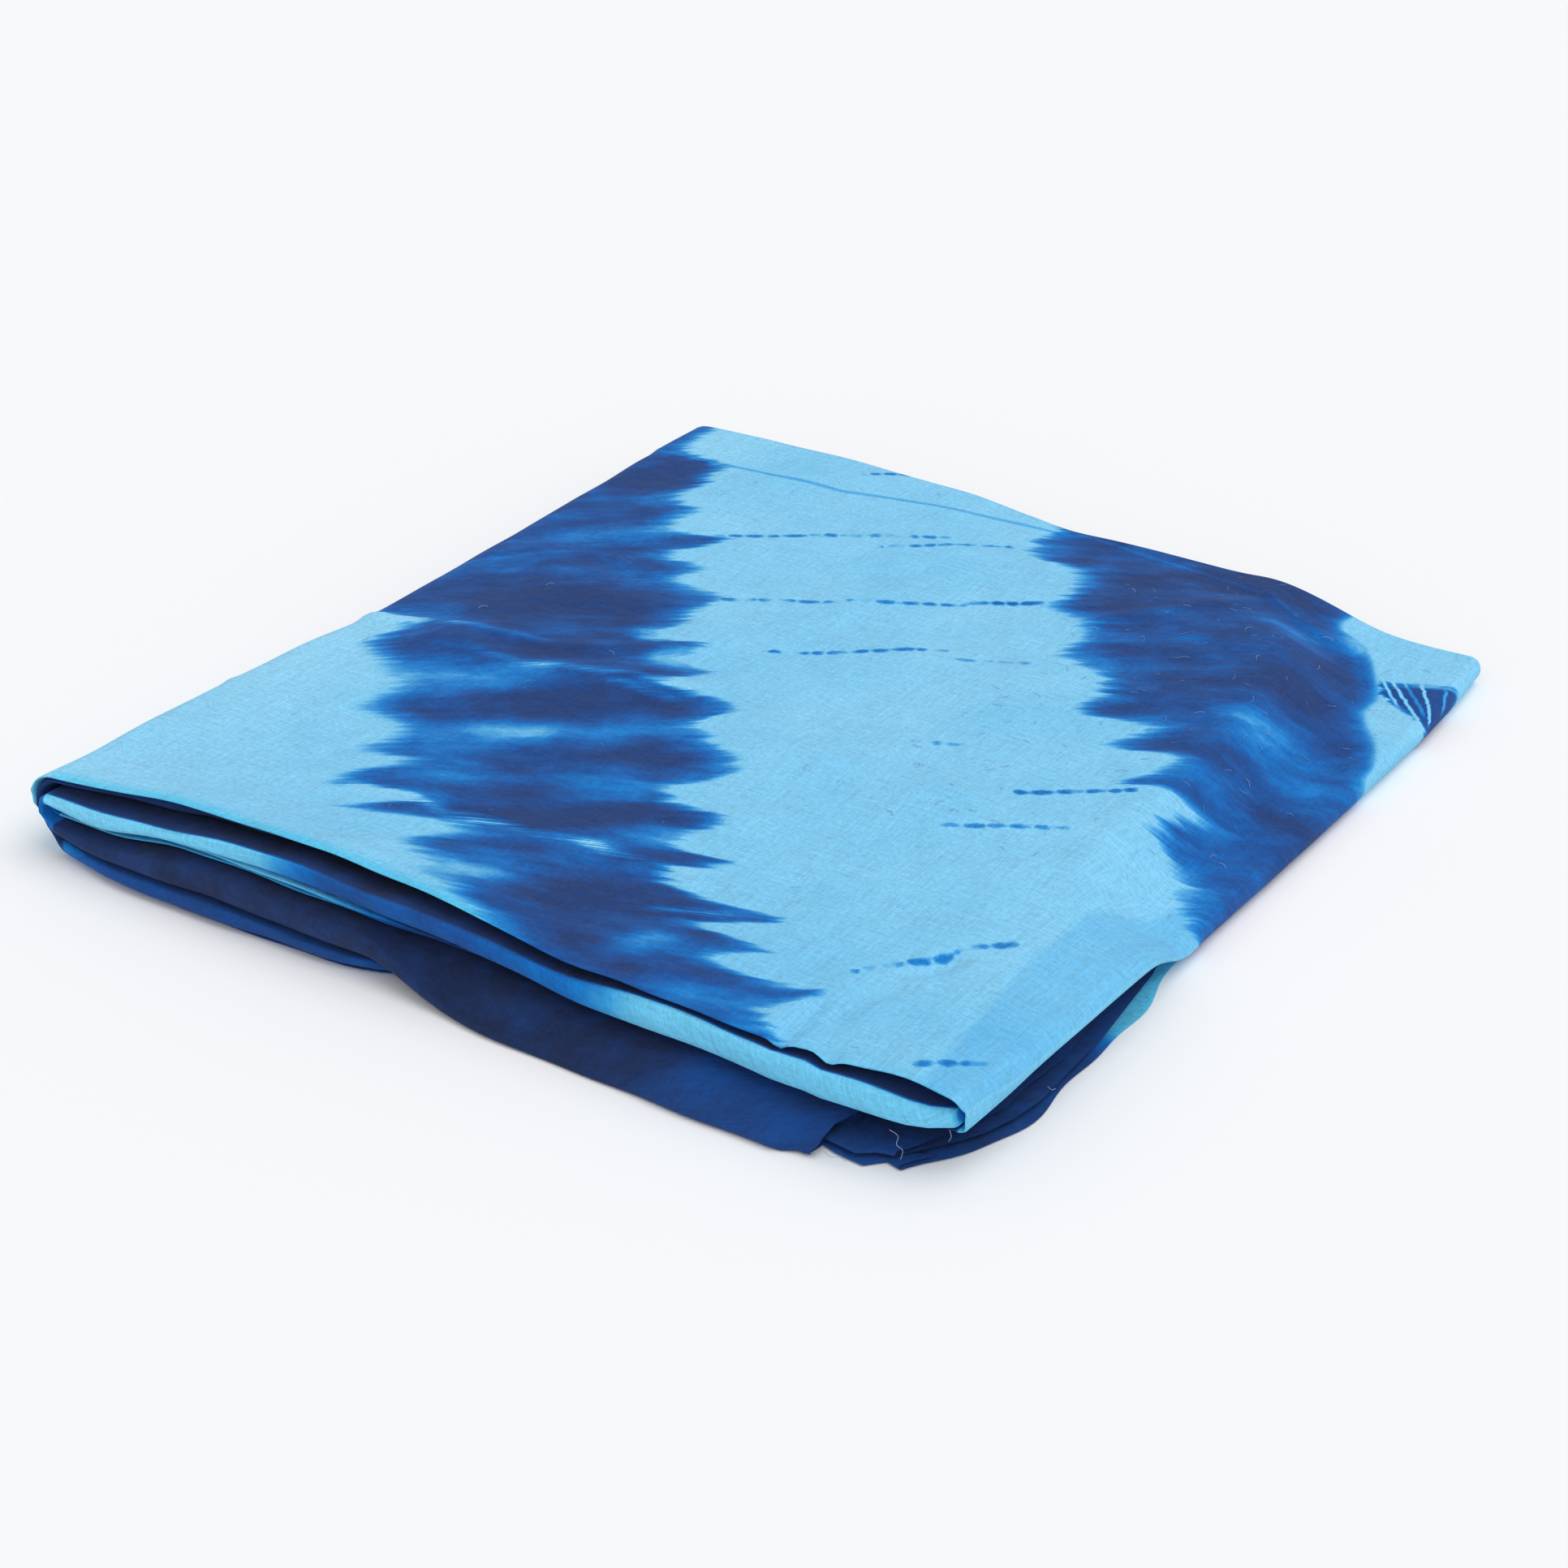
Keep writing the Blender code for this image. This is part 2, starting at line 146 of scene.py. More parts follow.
LEFT_EDGE = (
    (-205, 29.0, -2.0, 11.5),
    (-150, 30.0, -1.0, 10.0),
    (-92, 28.5, 0.0, 8.0),
    (-20, 26.0, 3.5, 5.0),
    (75, 26.0, 3.5, 4.0),
    (140, 27.5, 3.0, 4.0),
    (211, 28.0, 2.0, 3.0),
)
LEFT_TUCK_LEVEL = 7.5
LEFT_TUCK_SHAPE = 1.5
SIDE_BLEND = 70.0
RIGHT_COLUMNS = ("y", "shift", "top", "slope_start", "slope", "third_end", "bottom_end")
RIGHT_EDGE = (
    (-219, -4.0, 30.0, 150, 0, 146, 166),
    (-205, -4.0, 30.5, 150, 0, 147, 169),
    (-196, -3.0, 30.5, 150, 0, 160, 178),
    (-171, -0.5, 30.0, 150, 0, 177, 186),
    (-120, 0.5, 28.5, 150, 0, 180, 186),
    (-92, 1.5, 27.5, 150, 0, 180, 184.5),
    (-78, 0.5, 25.5, 149, 0.05, 179, 183),
    (-68, -1.0, 22.0, 148, 0.2, 178, 182),
    (-47, -0.5, 13.0, 146, 0.88, 176, 180),
    (-36, -1.0, 11.2, 146, 0.98, 170, 177),
    (-26, -1.0, 10.8, 146, 1, 135, 145),
    (40, 1.0, 10.6, 144, 1, 133, 136),
    (105, 2.5, 10.6, 140, 1, 129, 132),
    (150, 3.0, 10.6, 126, 1, 115, 118),
    (178, 2.5, 10.6, 102, 1, 93, 96),
    (211, 0.0, 10.6, 90, 1, 81, 84),
)
RUN_SQUEEZE_START = 40.0
RUN_LEVELS = {"bottom": (1, -1), "top": (10, 1), "second": (7, -1), "third": (4, 1)}
BENDS = {
    "left_bend": (5.5, 4.5, 1, -1, "bottom", "top"),
    "right_bend": (8.5, 1.5, 1, 1, "second", "top"),
    "inner_bend": (5.5, 1.5, -1, -1, "third", "second"),
}
EDGE_OF_RUN = {"bottom": ("floor", "low"), "top": ("lip", "mouth"),
               "second": ("edge_two", "band"), "third": ("edge_three", "bulge")}

# Soft ridges and troughs of the pile under the top layer, and how it settles at its edges
BACK_EDGE_BLEND = 75.0
LEFT_EDGE_BLEND = 55.0
SWELL_COLUMNS = ("start_x", "start_y", "end_x", "end_y", "height", "width")
SWELLS = (
    (-176, -32, -60, -18, 1.4, 26),
    (-60, -18, 20, -40, 1.2, 24),
    (20, -40, 190, -56, 1.5, 26),
    (-120, -95, 40, -120, -1.3, 40),
    (-110, 70, 60, 110, -1.6, 48),
    (-170, 178, 110, 186, 0.9, 14),
    (40, -165, 110, -120, -1.4, 26),
    (70, 30, 110, 150, 1.0, 40),
)

# Creases of the top layer in the part's frame: height of the ridge, its width, and
# how much higher the side on the left of the line stands close to it
CREASE_COLUMNS = ("path", "height", "width", "step")
CREASES = (
    (((-190, -21), (-152, -19), (-130, -16), (-94, -12), (-69, 7), (-52, 16)), 0.9, 4.0, 0.0),
    (((-145, -29), (-101, -34), (-70, -24), (-32, -14), (19, -36), (79, -34), (113, -36),
      (168, -23), (187, -34)), 1.0, 9.0, 0.0),
    (((-198, -97), (-144, -107), (-122, -105), (-102, -99)), 0.4, 2.6, 0.0),
    (((-54, 24), (-35, 47), (-23, 87), (-14, 123)), 0.5, 6.0, 0.0),
    (((108, 189), (125, 182), (143, 182), (152, 188), (170, 161)), 0.8, 3.2, 1.0),
    (((62, 121), (79, 145), (96, 168), (108, 189)), 0.9, 5.0, 0.0),
    (((176, 139), (187, 120), (195, 101)), 0.6, 4.0, 0.0),
    (((141, -199), (132, -184), (132, -164), (138, -149), (145, -129)), -2.2, 4.5, 0.0),
    (((124, -198), (123, -185), (124, -174)), -1.6, 3.0, 0.0),
    (((138, -199), (129, -176), (132, -159), (142, -143)), 1.5, 4.0, 0.0),
    (((117, -190), (120, -176), (122, -160)), 0.8, 4.0, 0.0),
    (((-60, -70), (-10, -88), (40, -90)), 0.5, 8.0, 0.0),
    (((-170, 60), (-110, 40), (-60, 48)), 0.6, 10.0, 0.0),
    (((20, 60), (70, 66), (120, 60)), 0.5, 9.0, 0.0),
)
CREASE_SCALE = 1.5
CREASE_STEP_WIDTH = 1.2
CREASE_STEP_REACH = 14.0
HEM_LINE = ((-190, 181), (-162, 180), (-121, 179), (-88, 180), (-44, 189), (-5, 203), (18, 208),
            (52, 205), (89, 198), (116, 187))
HEM_STEP = 0.55
HEM_STEP_WIDTH = 1.6
HEM_STEP_REACH = 6.0
SHOULDER_DROP = 3.4
SHOULDER_X = (158, 196)
SHOULDER_Y = (-30, -60)
UNEVEN_SEED = 11
UNEVEN_WAVES = 26
UNEVEN_LENGTHS = (26, 90)
UNEVEN_SLOPE = 0.0016
FREE_LEVELS = (5, 10.5)
LOWEST_POINT = 0.3

# Points of the sheet along the strip and across it
FINE_PITCH = 2.7
TOP_ROWS = 150
HIDDEN_ROWS = 58
HIDDEN_DEPTHS = (0, 1.5, 4, 8, 14, 22, 34, 50, 72, 94, 112, 126, 138, 150, 162, 176, 194, 220, 255,
                 295, 335, 370, 392, 404, 410)
HEM_LEVEL = 0.62
HEM_DEPTH = 9.0
# The two hems: offset in layers and depth of each point round the turned edge
FRONT_HEM = ((HEM_LEVEL, HEM_DEPTH), (HEM_LEVEL, 5.0), (HEM_LEVEL, 1.4), (0.68, 0.5), (0.84, 0.0),
             (1.0, 0.5), (1.0, 1.4))
BACK_HEM = ((-0.84, DEPTH + 0.4), (-0.68, DEPTH), (-HEM_LEVEL, DEPTH - 1.4),
            (-HEM_LEVEL, DEPTH - 5.0), (-HEM_LEVEL, DEPTH - HEM_DEPTH))
# Angles of the points round the pleat folds, in degrees
BACK_FOLD_ANGLES = range(22, 180, 17)
FRONT_FOLD_ANGLES = range(15, 180, 15)
# Rows round each bend of the strip: first and last angle, and how many
BEND_ROWS = {"left_bend": (-78, 78, 15), "right_bend": (78, -78, 12), "inner_bend": (75, -75, 9)}


def ease(low, high, value):
    """Ease from 0 at low to 1 at high."""
    part = np.clip((value - low) / (high - low), 0.0, 1.0)
    return part * part * (3.0 - 2.0 * part)


def mix(first, second, part):
    """Value that lies the given part of the way from first to second."""
    return first + (second - first) * part


def named_rows(columns, table):
    """The rows of a table, each with its columns named."""
    return [dict(zip(columns, row)) for row in table]


def rounded(columns, table):
    """The columns of a table as curves over its first one, with their corners rounded off."""
    rows = np.array(table, dtype=float)
    fine = np.arange(rows[0, 0] - CURVE_MARGIN, rows[-1, 0] + CURVE_MARGIN, 1.0)
    spread = np.arange(-3 * ROUNDING, 3 * ROUNDING + 1)
    weights = np.exp(-0.5 * (spread / ROUNDING) ** 2)
    weights /= weights.sum()
    curves = {}
    for column, name in enumerate(columns):
        values = np.interp(fine, rows[:, 0], rows[:, column])
        padded = np.pad(values, 3 * ROUNDING, mode="edge")
        curves[name] = (fine, np.convolve(padded, weights, mode="valid"))
    return curves


def read(curves, name, place):
    """Value of one of those curves at every place."""
    fine, values = curves[name]
    return np.interp(place, fine, values)


front_heights = rounded(FRONT_COLUMNS, FRONT_HEIGHTS)
front_reaches = rounded(REACH_COLUMNS, FRONT_REACHES)
spill_curve = rounded(SPILL_COLUMNS, SPILL)
back_edge = rounded(BACK_COLUMNS, BACK_EDGE)
left_edge = rounded(LEFT_COLUMNS, LEFT_EDGE)
right_edge = rounded(RIGHT_COLUMNS, RIGHT_EDGE)


def line_distance(x, y, path):
    """Distance of every point from a bent line, positive on its left side."""
    nearest = np.full(x.shape, 1e9)
    side = np.ones(x.shape)
    for (start_x, start_y), (end_x, end_y) in zip(path, path[1:]):
        along_x, along_y = end_x - start_x, end_y - start_y
        length = math.hypot(along_x, along_y)
        part = ((x - start_x) * along_x + (y - start_y) * along_y) / length ** 2
        part = np.clip(part, 0.0, 1.0)
        away = np.hypot(x - start_x - part * along_x, y - start_y - part * along_y)
        turn = along_x * (y - start_y) - along_y * (x - start_x)
        closer = away < nearest
        nearest = np.where(closer, away, nearest)
        side = np.where(closer, np.sign(turn), side)
    return nearest * np.where(side == 0, 1.0, side)


def top_height(x, y):
    """Height of the top layer away from the front edge."""
    height = np.full(x.shape, CORE_HEIGHT)
    for swell in named_rows(SWELL_COLUMNS, SWELLS):
        path = ((swell["start_x"], swell["start_y"]), (swell["end_x"], swell["end_y"]))
        away = line_distance(x, y, path)
        height = height + swell["height"] * np.exp(-((away / swell["width"]) ** 2))
    height = mix(read(back_edge, "top", x), height, ease(0, BACK_EDGE_BLEND, BACK_Y - y))
    height = mix(read(left_edge, "top", y), height, ease(0, LEFT_EDGE_BLEND, x - LEFT_BEND_X))
    steep = ease(read(right_edge, "slope_start", y), RIGHT_BEND_X, x)
    return mix(height, read(right_edge, "top", y), steep)


def level_heights(x, y):
    """Heights of the twelve layers at every point, bottom layer first."""
    level = np.arange(LAYERS)
    top = top_height(x, y)[..., None]
    even = mix(BOTTOM_LAYER_HEIGHT, top, level / TOP_LEVEL)
    slope = read(right_edge, "slope", y)
    slope = slope * ease(read(right_edge, "slope_start", y), RIGHT_BEND_X, x)
    low = BOTTOM_LAYER_HEIGHT + np.maximum(level - LAYERS // 2, 0) * SLOPE_LAYER_PITCH
    even = mix(even, low, slope[..., None])
    names = tuple(reversed(FRONT_COLUMNS[1:]))
    front = np.stack([read(front_heights, name, x) for name in names], axis=-1)
    away = ease(FRONT_Y, FRONT_Y + FRONT_BLEND, y)[..., None]
    return mix(front, even, away)


def run_front(stretch, place, x, inner):
    """Where the front edge of a stretch lies; inner is True for layers 2 and 3."""
    def edge(run):
        names = EDGE_OF_RUN[run]
        return np.where(inner, read(front_reaches, names[1], x), read(front_reaches, names[0], x))
    if stretch in RUN_LEVELS:
        return edge(stretch)
    lower, upper = BENDS[stretch][4:]
    return mix(edge(lower), edge(upper), ease(-90, 90, place))


def strip_point(stretch, place, offset):
    """Position along the strip and level in the pile, before the edges are shaped."""
    if stretch in RUN_LEVELS:
        middle, side = RUN_LEVELS[stretch]
        return mix(LEFT_BEND_X, RIGHT_BEND_X, place) + 0 * offset, middle + side * offset + 0 * place
    middle, radius, growth, side = BENDS[stretch][:4]
    turn = np.radians(place)
    bend_x = RIGHT_BEND_X if side > 0 else LEFT_BEND_X
    reach = radius + growth * offset
    return bend_x + side * reach * BEND_WIDTH * np.cos(turn), middle + reach * np.sin(turn)


def cut_end(stretch, x, y):
    """Shorten the two lower runs to their cut ends on the right."""
    if stretch not in ("third", "bottom"):
        return x
    end = read(right_edge, stretch + "_end", y)
    shorter = (end - RUN_SQUEEZE_START) / (RIGHT_BEND_X - RUN_SQUEEZE_START)
    return np.where(x < RUN_SQUEEZE_START, x, mix(RUN_SQUEEZE_START, x, shorter))


WAVE_COLUMNS = ("height", "length", "turn")
WAVES = ((0.5, 6.1, 2.3), (0.6, 13.7, 1.0), (0.7, 29.0, 3.1))


def wave(place, phase):
    """Slight unevenness along an edge, about one high."""
    return sum(part["height"] * np.sin(place / part["length"] + part["turn"] * phase)
               for part in named_rows(WAVE_COLUMNS, WAVES))


# The folds in front end on the right in steps: place along x, and how far back each goes
FOLD_STEPS = {"third": ((131, 3.0), (143, 3.0)), "bottom": ((157, 6.0), (164, -2.0))}
FOLD_STEP_WIDTH = 2.5
FOLD_STEP_FADE = (10, 60)
# The cut ends of the layers of the two lower runs don't lie on each other
END_STAGGER = {"third": (3.0, -2.0, -6.0), "bottom": (3.5, 0.0, -3.0)}
END_STAGGER_START = 0.7
# The edges are a little uneven: sideways at the cut ends and in front, and in height
CUT_END_WAVE = 1.3
FRONT_WAVE = 0.45
HEIGHT_WAVE = 0.22
WAVE_DEPTH = 40
WAVE_LEVELS = (0, 4)


def lay_stretch(stretch, places, offset, depth, fold):
    """Points of one stretch of the strip, row by row, in millimetres."""
    place = np.array(places, dtype=float)[:, None]
    x, level = strip_point(stretch, place, offset)
    depth = depth + 0 * x
    inner = (offset <= 0.5) & np.ones(x.shape, dtype=bool)
    reach_x = cut_end(stretch, x, FRONT_Y + depth)
    front = run_front(stretch, place, reach_x, inner) - FRONT_Y
    back = read(back_edge, "reach", x) - BACK_Y
    y = FRONT_Y + depth + front * (1 - ease(0, REACH_BLEND, depth))
    y = y + back * ease(BACK_BLEND_START, DEPTH, depth)
    x = cut_end(stretch, x, y)
    heights = level_heights(x, y)
    below = np.clip(level.astype(int), 0, TOP_LEVEL - 1)
    lower = np.take_along_axis(heights, below[..., None], axis=-1)[..., 0]
    upper = np.take_along_axis(heights, below[..., None] + 1, axis=-1)[..., 0]
    bulge = np.maximum(SMALLEST_FOLD, FOLD_BULGE * (upper - lower)) * fold
    y = y + np.where(depth > DEPTH / 2, bulge, -bulge)
    z = mix(lower, upper, level - below)
    spill = read(spill_curve, "spill", x)
    upper_side = ease(*SPILL_SIDES, level)
    dropped = mix(BOTTOM_LAYER_HEIGHT, np.minimum(z, SPILL_EDGE_HEIGHT), upper_side)
    settled = mix(ease(*SPILL_UNDERSIDE, depth), ease(*SPILL_FACE, depth), upper_side)
    spilled = mix(z, mix(dropped, z, settled), spill)
    z = np.where((level > SPILL_LEVELS[0]) & (level < SPILL_LEVELS[1]), spilled, z)
    near_left = 1 - ease(LEFT_BEND_X, LEFT_BEND_X + SIDE_BLEND, x)
    tuck = read(left_edge, "tuck", y) * np.maximum(0.0, 1 - level / LEFT_TUCK_LEVEL) ** LEFT_TUCK_SHAPE
    near_right = ease(RIGHT_BEND_X - SIDE_BLEND, RIGHT_BEND_X, x)
    if stretch in END_STAGGER:
        stagger = np.interp(-offset, (-1, 0, 1), END_STAGGER[stretch])
        x = x + (stagger + CUT_END_WAVE * wave(y, offset)) * ease(END_STAGGER_START, 1.0, place)
    x = x + near_left * (read(left_edge, "shift", y) + tuck)
    x = x + near_right * read(right_edge, "shift", y)
    near_front = 1 - ease(0, WAVE_DEPTH, depth)
    for at_x, back_by in FOLD_STEPS.get(stretch, ()):
        past_step = ease(at_x, at_x + FOLD_STEP_WIDTH, x)
        y = y + back_by * past_step * (1 - ease(*FOLD_STEP_FADE, depth))
    y = y + FRONT_WAVE * wave(x, level) * near_front
    z = z + HEIGHT_WAVE * wave(x, 0.4 * level) * near_front * ease(*WAVE_LEVELS, level)
    return np.stack([x, y, z], axis=-1)


def crease_relief(x, y):
    """Height that the creases of the top layer add at every point."""
    relief = np.zeros(x.shape)
    for crease in named_rows(CREASE_COLUMNS, CREASES):
        away = line_distance(x, y, crease["path"])
        relief += crease["height"] * np.exp(-((away / crease["width"]) ** 2))
        near = np.exp(-np.abs(away) / CREASE_STEP_REACH)
        relief += crease["step"] * 0.5 * np.tanh(away / CREASE_STEP_WIDTH) * near
    away = line_distance(x, y, HEM_LINE)
    near = np.where(away > 0, 1.0, np.exp(-np.abs(away) / HEM_STEP_REACH))
    relief += HEM_STEP * 0.5 * (1 + np.tanh(away / HEM_STEP_WIDTH)) * near
    shoulder = ease(*SHOULDER_X, x) * ease(*SHOULDER_Y, y)
    relief = relief * CREASE_SCALE - SHOULDER_DROP * shoulder
    rng = np.random.default_rng(UNEVEN_SEED)
    for _ in range(UNEVEN_WAVES):
        heading = rng.uniform(0, math.pi)
        length = rng.uniform(*UNEVEN_LENGTHS)
        phase = rng.uniform(0, 2 * math.pi)
        across = x * math.cos(heading) + y * math.sin(heading)
        relief += UNEVEN_SLOPE * length * np.sin(2 * math.pi * across / length + phase)
    return relief


def across_cloth():
    """Points across the cloth, hem to hem: offset in layers, depth, roundness of the fold."""
    rows = [(level, depth, 0) for level, depth in FRONT_HEM]
    layer = np.linspace(0, DEPTH, int(DEPTH / FINE_PITCH))
    rows += [(1.0, depth, 0) for depth in layer[1:]]
    for angle in BACK_FOLD_ANGLES:
        turn = math.radians(angle)
        rows.append((0.5 + 0.5 * math.cos(turn), DEPTH, math.sin(turn)))
    rows += [(0.0, depth, 0) for depth in reversed(HIDDEN_DEPTHS)]
    for angle in FRONT_FOLD_ANGLES:
        turn = math.radians(angle)
        rows.append((-0.5 + 0.5 * math.cos(turn), 0, math.sin(turn)))
    rows += [(-1.0, depth, 0) for depth in HIDDEN_DEPTHS]
    rows += [(level, depth, 0) for level, depth in BACK_HEM]
    return np.array(rows, dtype=float)


def along_cloth():
    """Stretches along the strip, with the places of their rows of points."""
    fine = np.linspace(0, 1, TOP_ROWS)
    coarse = np.linspace(0, 1, HIDDEN_ROWS)
    return (
        ("bottom", coarse[::-1]),
        ("left_bend", np.linspace(*BEND_ROWS["left_bend"])),
        ("top", fine),
        ("right_bend", np.linspace(*BEND_ROWS["right_bend"])),
        ("second", coarse[::-1]),
        ("inner_bend", np.linspace(*BEND_ROWS["inner_bend"])),
        ("third", coarse),
    )


# Across the strip the offset is 1 in its upper layer, 0 in the middle one and -1 in the lower one
across = across_cloth()
offset, depth, fold = (across[:, column][None, :] for column in range(3))
blocks = []
stretch_of_row = []
for stretch, places in along_cloth():
    blocks.append(lay_stretch(stretch, places, offset, depth, fold))
    stretch_of_row += [stretch] * len(places)
grid = np.concatenate(blocks) + np.array(TABLE_TO_FRAME)
stretch_of_row = np.array(stretch_of_row)
row_level = np.zeros(grid.shape[:2])
row_start = 0
for stretch, places in along_cloth():
    place = np.array(places, dtype=float)[:, None]
    row_level[row_start:row_start + len(places)] = strip_point(stretch, place, offset)[1]
    row_start += len(places)
relief = crease_relief(grid[..., 0], grid[..., 1])
grid[..., 2] += relief * ease(*FREE_LEVELS, row_level)
grid[..., 2] = np.maximum(grid[..., 2], LOWEST_POINT)

# Where each point lies on the unfolded cloth: the top layer keeps its place on the
# pad, and the rest is measured along the cloth from there
rows, columns = grid.shape[:2]
top_rows = np.flatnonzero(stretch_of_row == "top")
first_layer = np.flatnonzero(offset[0] > 0.99)
flat_x = grid[..., 0].copy()
flat_y = grid[..., 1].copy()
steps_along = np.linalg.norm(np.diff(grid, axis=0), axis=-1)
for row in range(top_rows[0] - 1, -1, -1):
    flat_x[row] = flat_x[row + 1] - steps_along[row]
for row in range(top_rows[-1] + 1, rows):
    flat_x[row] = flat_x[row - 1] + steps_along[row - 1]
steps_across = np.linalg.norm(np.diff(grid, axis=1), axis=-1)
for column in range(first_layer[0] - 1, -1, -1):
    flat_y[:, column] = flat_y[:, column + 1] - steps_across[:, column]
for column in range(first_layer[-1] + 1, columns):
    flat_y[:, column] = flat_y[:, column - 1] + steps_across[:, column - 1]

# Dyed cloth, the strength of the dye
# The bands of the top layer are drawn in the material. Here are the soft clouds in
# them, and the edges in front and on the right, which show other parts of the cloth:
# 0 is pale, 1 navy.
NAVY = 1.1
PALE = 0.05
ACROSS_PICTURE = (0.84, 0.543)
UP_PICTURE = (-0.543, 0.84)
CLOUD_FADE = 0.8
CLOUD_COLUMNS = ("across", "up", "half_across", "half_up", "change")
CLOUDS = (
    (-44, 228, 28, 14, 0.30), (-83, 156, 24, 10, -0.30), (-115, 135, 28, 10, -0.16),
    (-45, 169, 16, 12, -0.10), (-71, 118, 30, 9, -0.14), (-89, 91, 44, 17, 0.24),
    (-54, 57, 6, 8, -0.60), (-46, 34, 8, 7, -0.55), (-149, 42, 18, 11, 0.25),
    (-95, 45, 40, 9, 0.06), (-121, 19, 26, 11, -0.40), (-80, 22, 24, 8, -0.12),
    (-67, -5, 44, 9, 0.24), (-149, -9, 18, 9, 0.22), (-107, -27, 22, 9, -0.46),
    (-72, -29, 24, 8, -0.34), (-51, -48, 36, 9, 0.26), (-147, -50, 16, 6, 0.15),
    (-115, -61, 18, 9, -0.38), (-66, -67, 20, 9, -0.38), (-144, -74, 24, 11, 0.26),
    (-76, -90, 48, 11, 0.24), (-127, -103, 22, 7, 0.16), (-59, -109, 20, 9, -0.36),
    (-42, -119, 22, 8, 0.20), (-103, -135, 22, 10, -0.44), (-47, -142, 38, 9, 0.24),
    (-83, -167, 34, 22, 0.24), (-48, -175, 10, 8, -0.55), (-34, -168, 26, 5, 0.16),
    (-33, -205, 26, 14, -0.32), (-9, -195, 26, 5, 0.25),
    (174, 103, 46, 18, 0.16), (147, 14, 26, 12, 0.14), (136, 57, 22, 14, 0.12),
    (121, 28, 12, 7, -0.25), (176, -19, 26, 14, -0.34), (197, -39, 20, 14, -0.24),
    (195, 21, 22, 12, 0.18), (232, 80, 16, 9, -0.35), (159, -82, 20, 10, -0.25),
    (176, -82, 16, 12, 0.22), (141, -117, 16, 10, -0.18), (207, 67, 14, 8, -0.25),
)
EDGE_DYE_COLUMNS = ("x", "band", "edge_two", "edge_three", "bulge", "low", "floor")
EDGE_DYES = (
    (-186, 0.05, 0.10, 0.12, 1.15, 0.20, 0.15),
    (-170, 0.05, 0.10, 0.12, 1.15, 0.70, 0.40),
    (-155, 0.05, 0.10, 0.15, 1.15, 0.88, 0.85),
    (-84, 0.08, 0.10, 0.20, 1.15, 0.88, 0.90),
    (-70, 0.50, 0.12, 0.25, 1.15, 0.88, 0.90),
    (-50, 0.85, 0.20, 0.30, 1.15, 0.88, 0.90),
    (-34, 0.65, 0.45, 0.55, 1.15, 0.88, 0.90),
    (-20, 0.85, 0.90, 0.90, 1.15, 0.88, 0.90),
    (5, 0.70, 1.00, 1.00, 1.15, 1.00, 1.00),
    (30, 0.55, 1.00, 1.00, 1.15, 1.00, 1.00),
    (52, 0.45, 1.00, 1.00, 1.15, 1.00, 1.00),
    (62, 0.15, 1.00, 1.00, 1.15, 1.00, 1.00),
    (74, 0.05, 1.00, 1.00, 1.15, 1.00, 1.00),
    (192, 0.05, 1.00, 1.00, 1.15, 1.00, 1.00),
)
EDGE_DYE_DEPTH = (45, 75)
CUT_END_COLUMNS = ("y", "third", "bottom")
CUT_END_DYES = (
    (-216, 0.90, 0.88),
    (-110, 0.92, 0.90),
    (-104, 1.00, 0.04),
    (0, 1.05, 0.04),
    (216, 1.05, 0.60),
)
CUT_END_NAVY = 0.95
CUT_END_START = (70, 100)
INNER_BEND_DYE = 0.6
MOUTH_EDGE = (0.0, 1.6)
RIGHT_BEND_TURN = (-70, -20)

picture_across = flat_x * ACROSS_PICTURE[0] + flat_y * ACROSS_PICTURE[1]
picture_up = flat_x * UP_PICTURE[0] + flat_y * UP_PICTURE[1]
cloud = np.zeros((rows, columns))
for spot in named_rows(CLOUD_COLUMNS, CLOUDS):
    far = (((picture_across - spot["across"]) / spot["half_across"]) ** 2
           + ((picture_up - spot["up"]) / spot["half_up"]) ** 2)
    cloud += spot["change"] * np.exp(-CLOUD_FADE * far)
edge_dyes = rounded(EDGE_DYE_COLUMNS, EDGE_DYES)
cut_end_dyes = rounded(CUT_END_COLUMNS, CUT_END_DYES)
edge_dye = np.zeros((rows, columns))
edge_part = np.zeros((rows, columns))
inner = offset[0] <= 0.5
near_front = 1 - ease(*EDGE_DYE_DEPTH, depth[0])
for run, names in EDGE_OF_RUN.items():
    chosen = np.flatnonzero(stretch_of_row == run)
    x = grid[chosen][..., 0]
    if run == "top":
        dye = np.full(x.shape, NAVY)
        share = (inner & (offset[0] < 0.25)) * near_front + 0 * x
    else:
        dye = np.where(inner, read(edge_dyes, names[1], x), read(edge_dyes, names[0], x))
        share = near_front + 0 * x
    if run == "second":
        # Inside the mouth the top side of the second run is made navy: partly its navy dye and partly
        # painted shade of the recess
        inside_mouth = (offset[0] < -0.9) * ease(*MOUTH_EDGE, depth[0])
        dye = mix(dye, NAVY, inside_mouth)
    if run in ("third", "bottom"):
        at_end = ease(*CUT_END_START, x)
        end_dye = read(cut_end_dyes, run, grid[chosen][..., 1])
        if run == "bottom":
            end_dye = np.where(offset[0] > 0.5, end_dye, CUT_END_NAVY)
        keep = (1 - at_end) * share
        total = np.maximum(keep + at_end, 1e-6)
        dye = (dye * keep + end_dye * at_end) / total
        share = np.maximum(share, at_end)
    edge_dye[chosen] = dye
    edge_part[chosen] = share
places_along = dict(along_cloth())
rows_of = {stretch: np.flatnonzero(stretch_of_row == stretch) for stretch in places_along}
edge_dye[rows_of["inner_bend"]] = INNER_BEND_DYE
edge_part[rows_of["inner_bend"]] = 1.0
turned = np.array(places_along["right_bend"])[:, None]
edge_dye[rows_of["right_bend"]] = mix(PALE, NAVY, ease(*RIGHT_BEND_TURN, turned))
edge_part[rows_of["right_bend"]] = (offset[0] < 0.5) * near_front
edge_dye[rows_of["left_bend"]] = NAVY
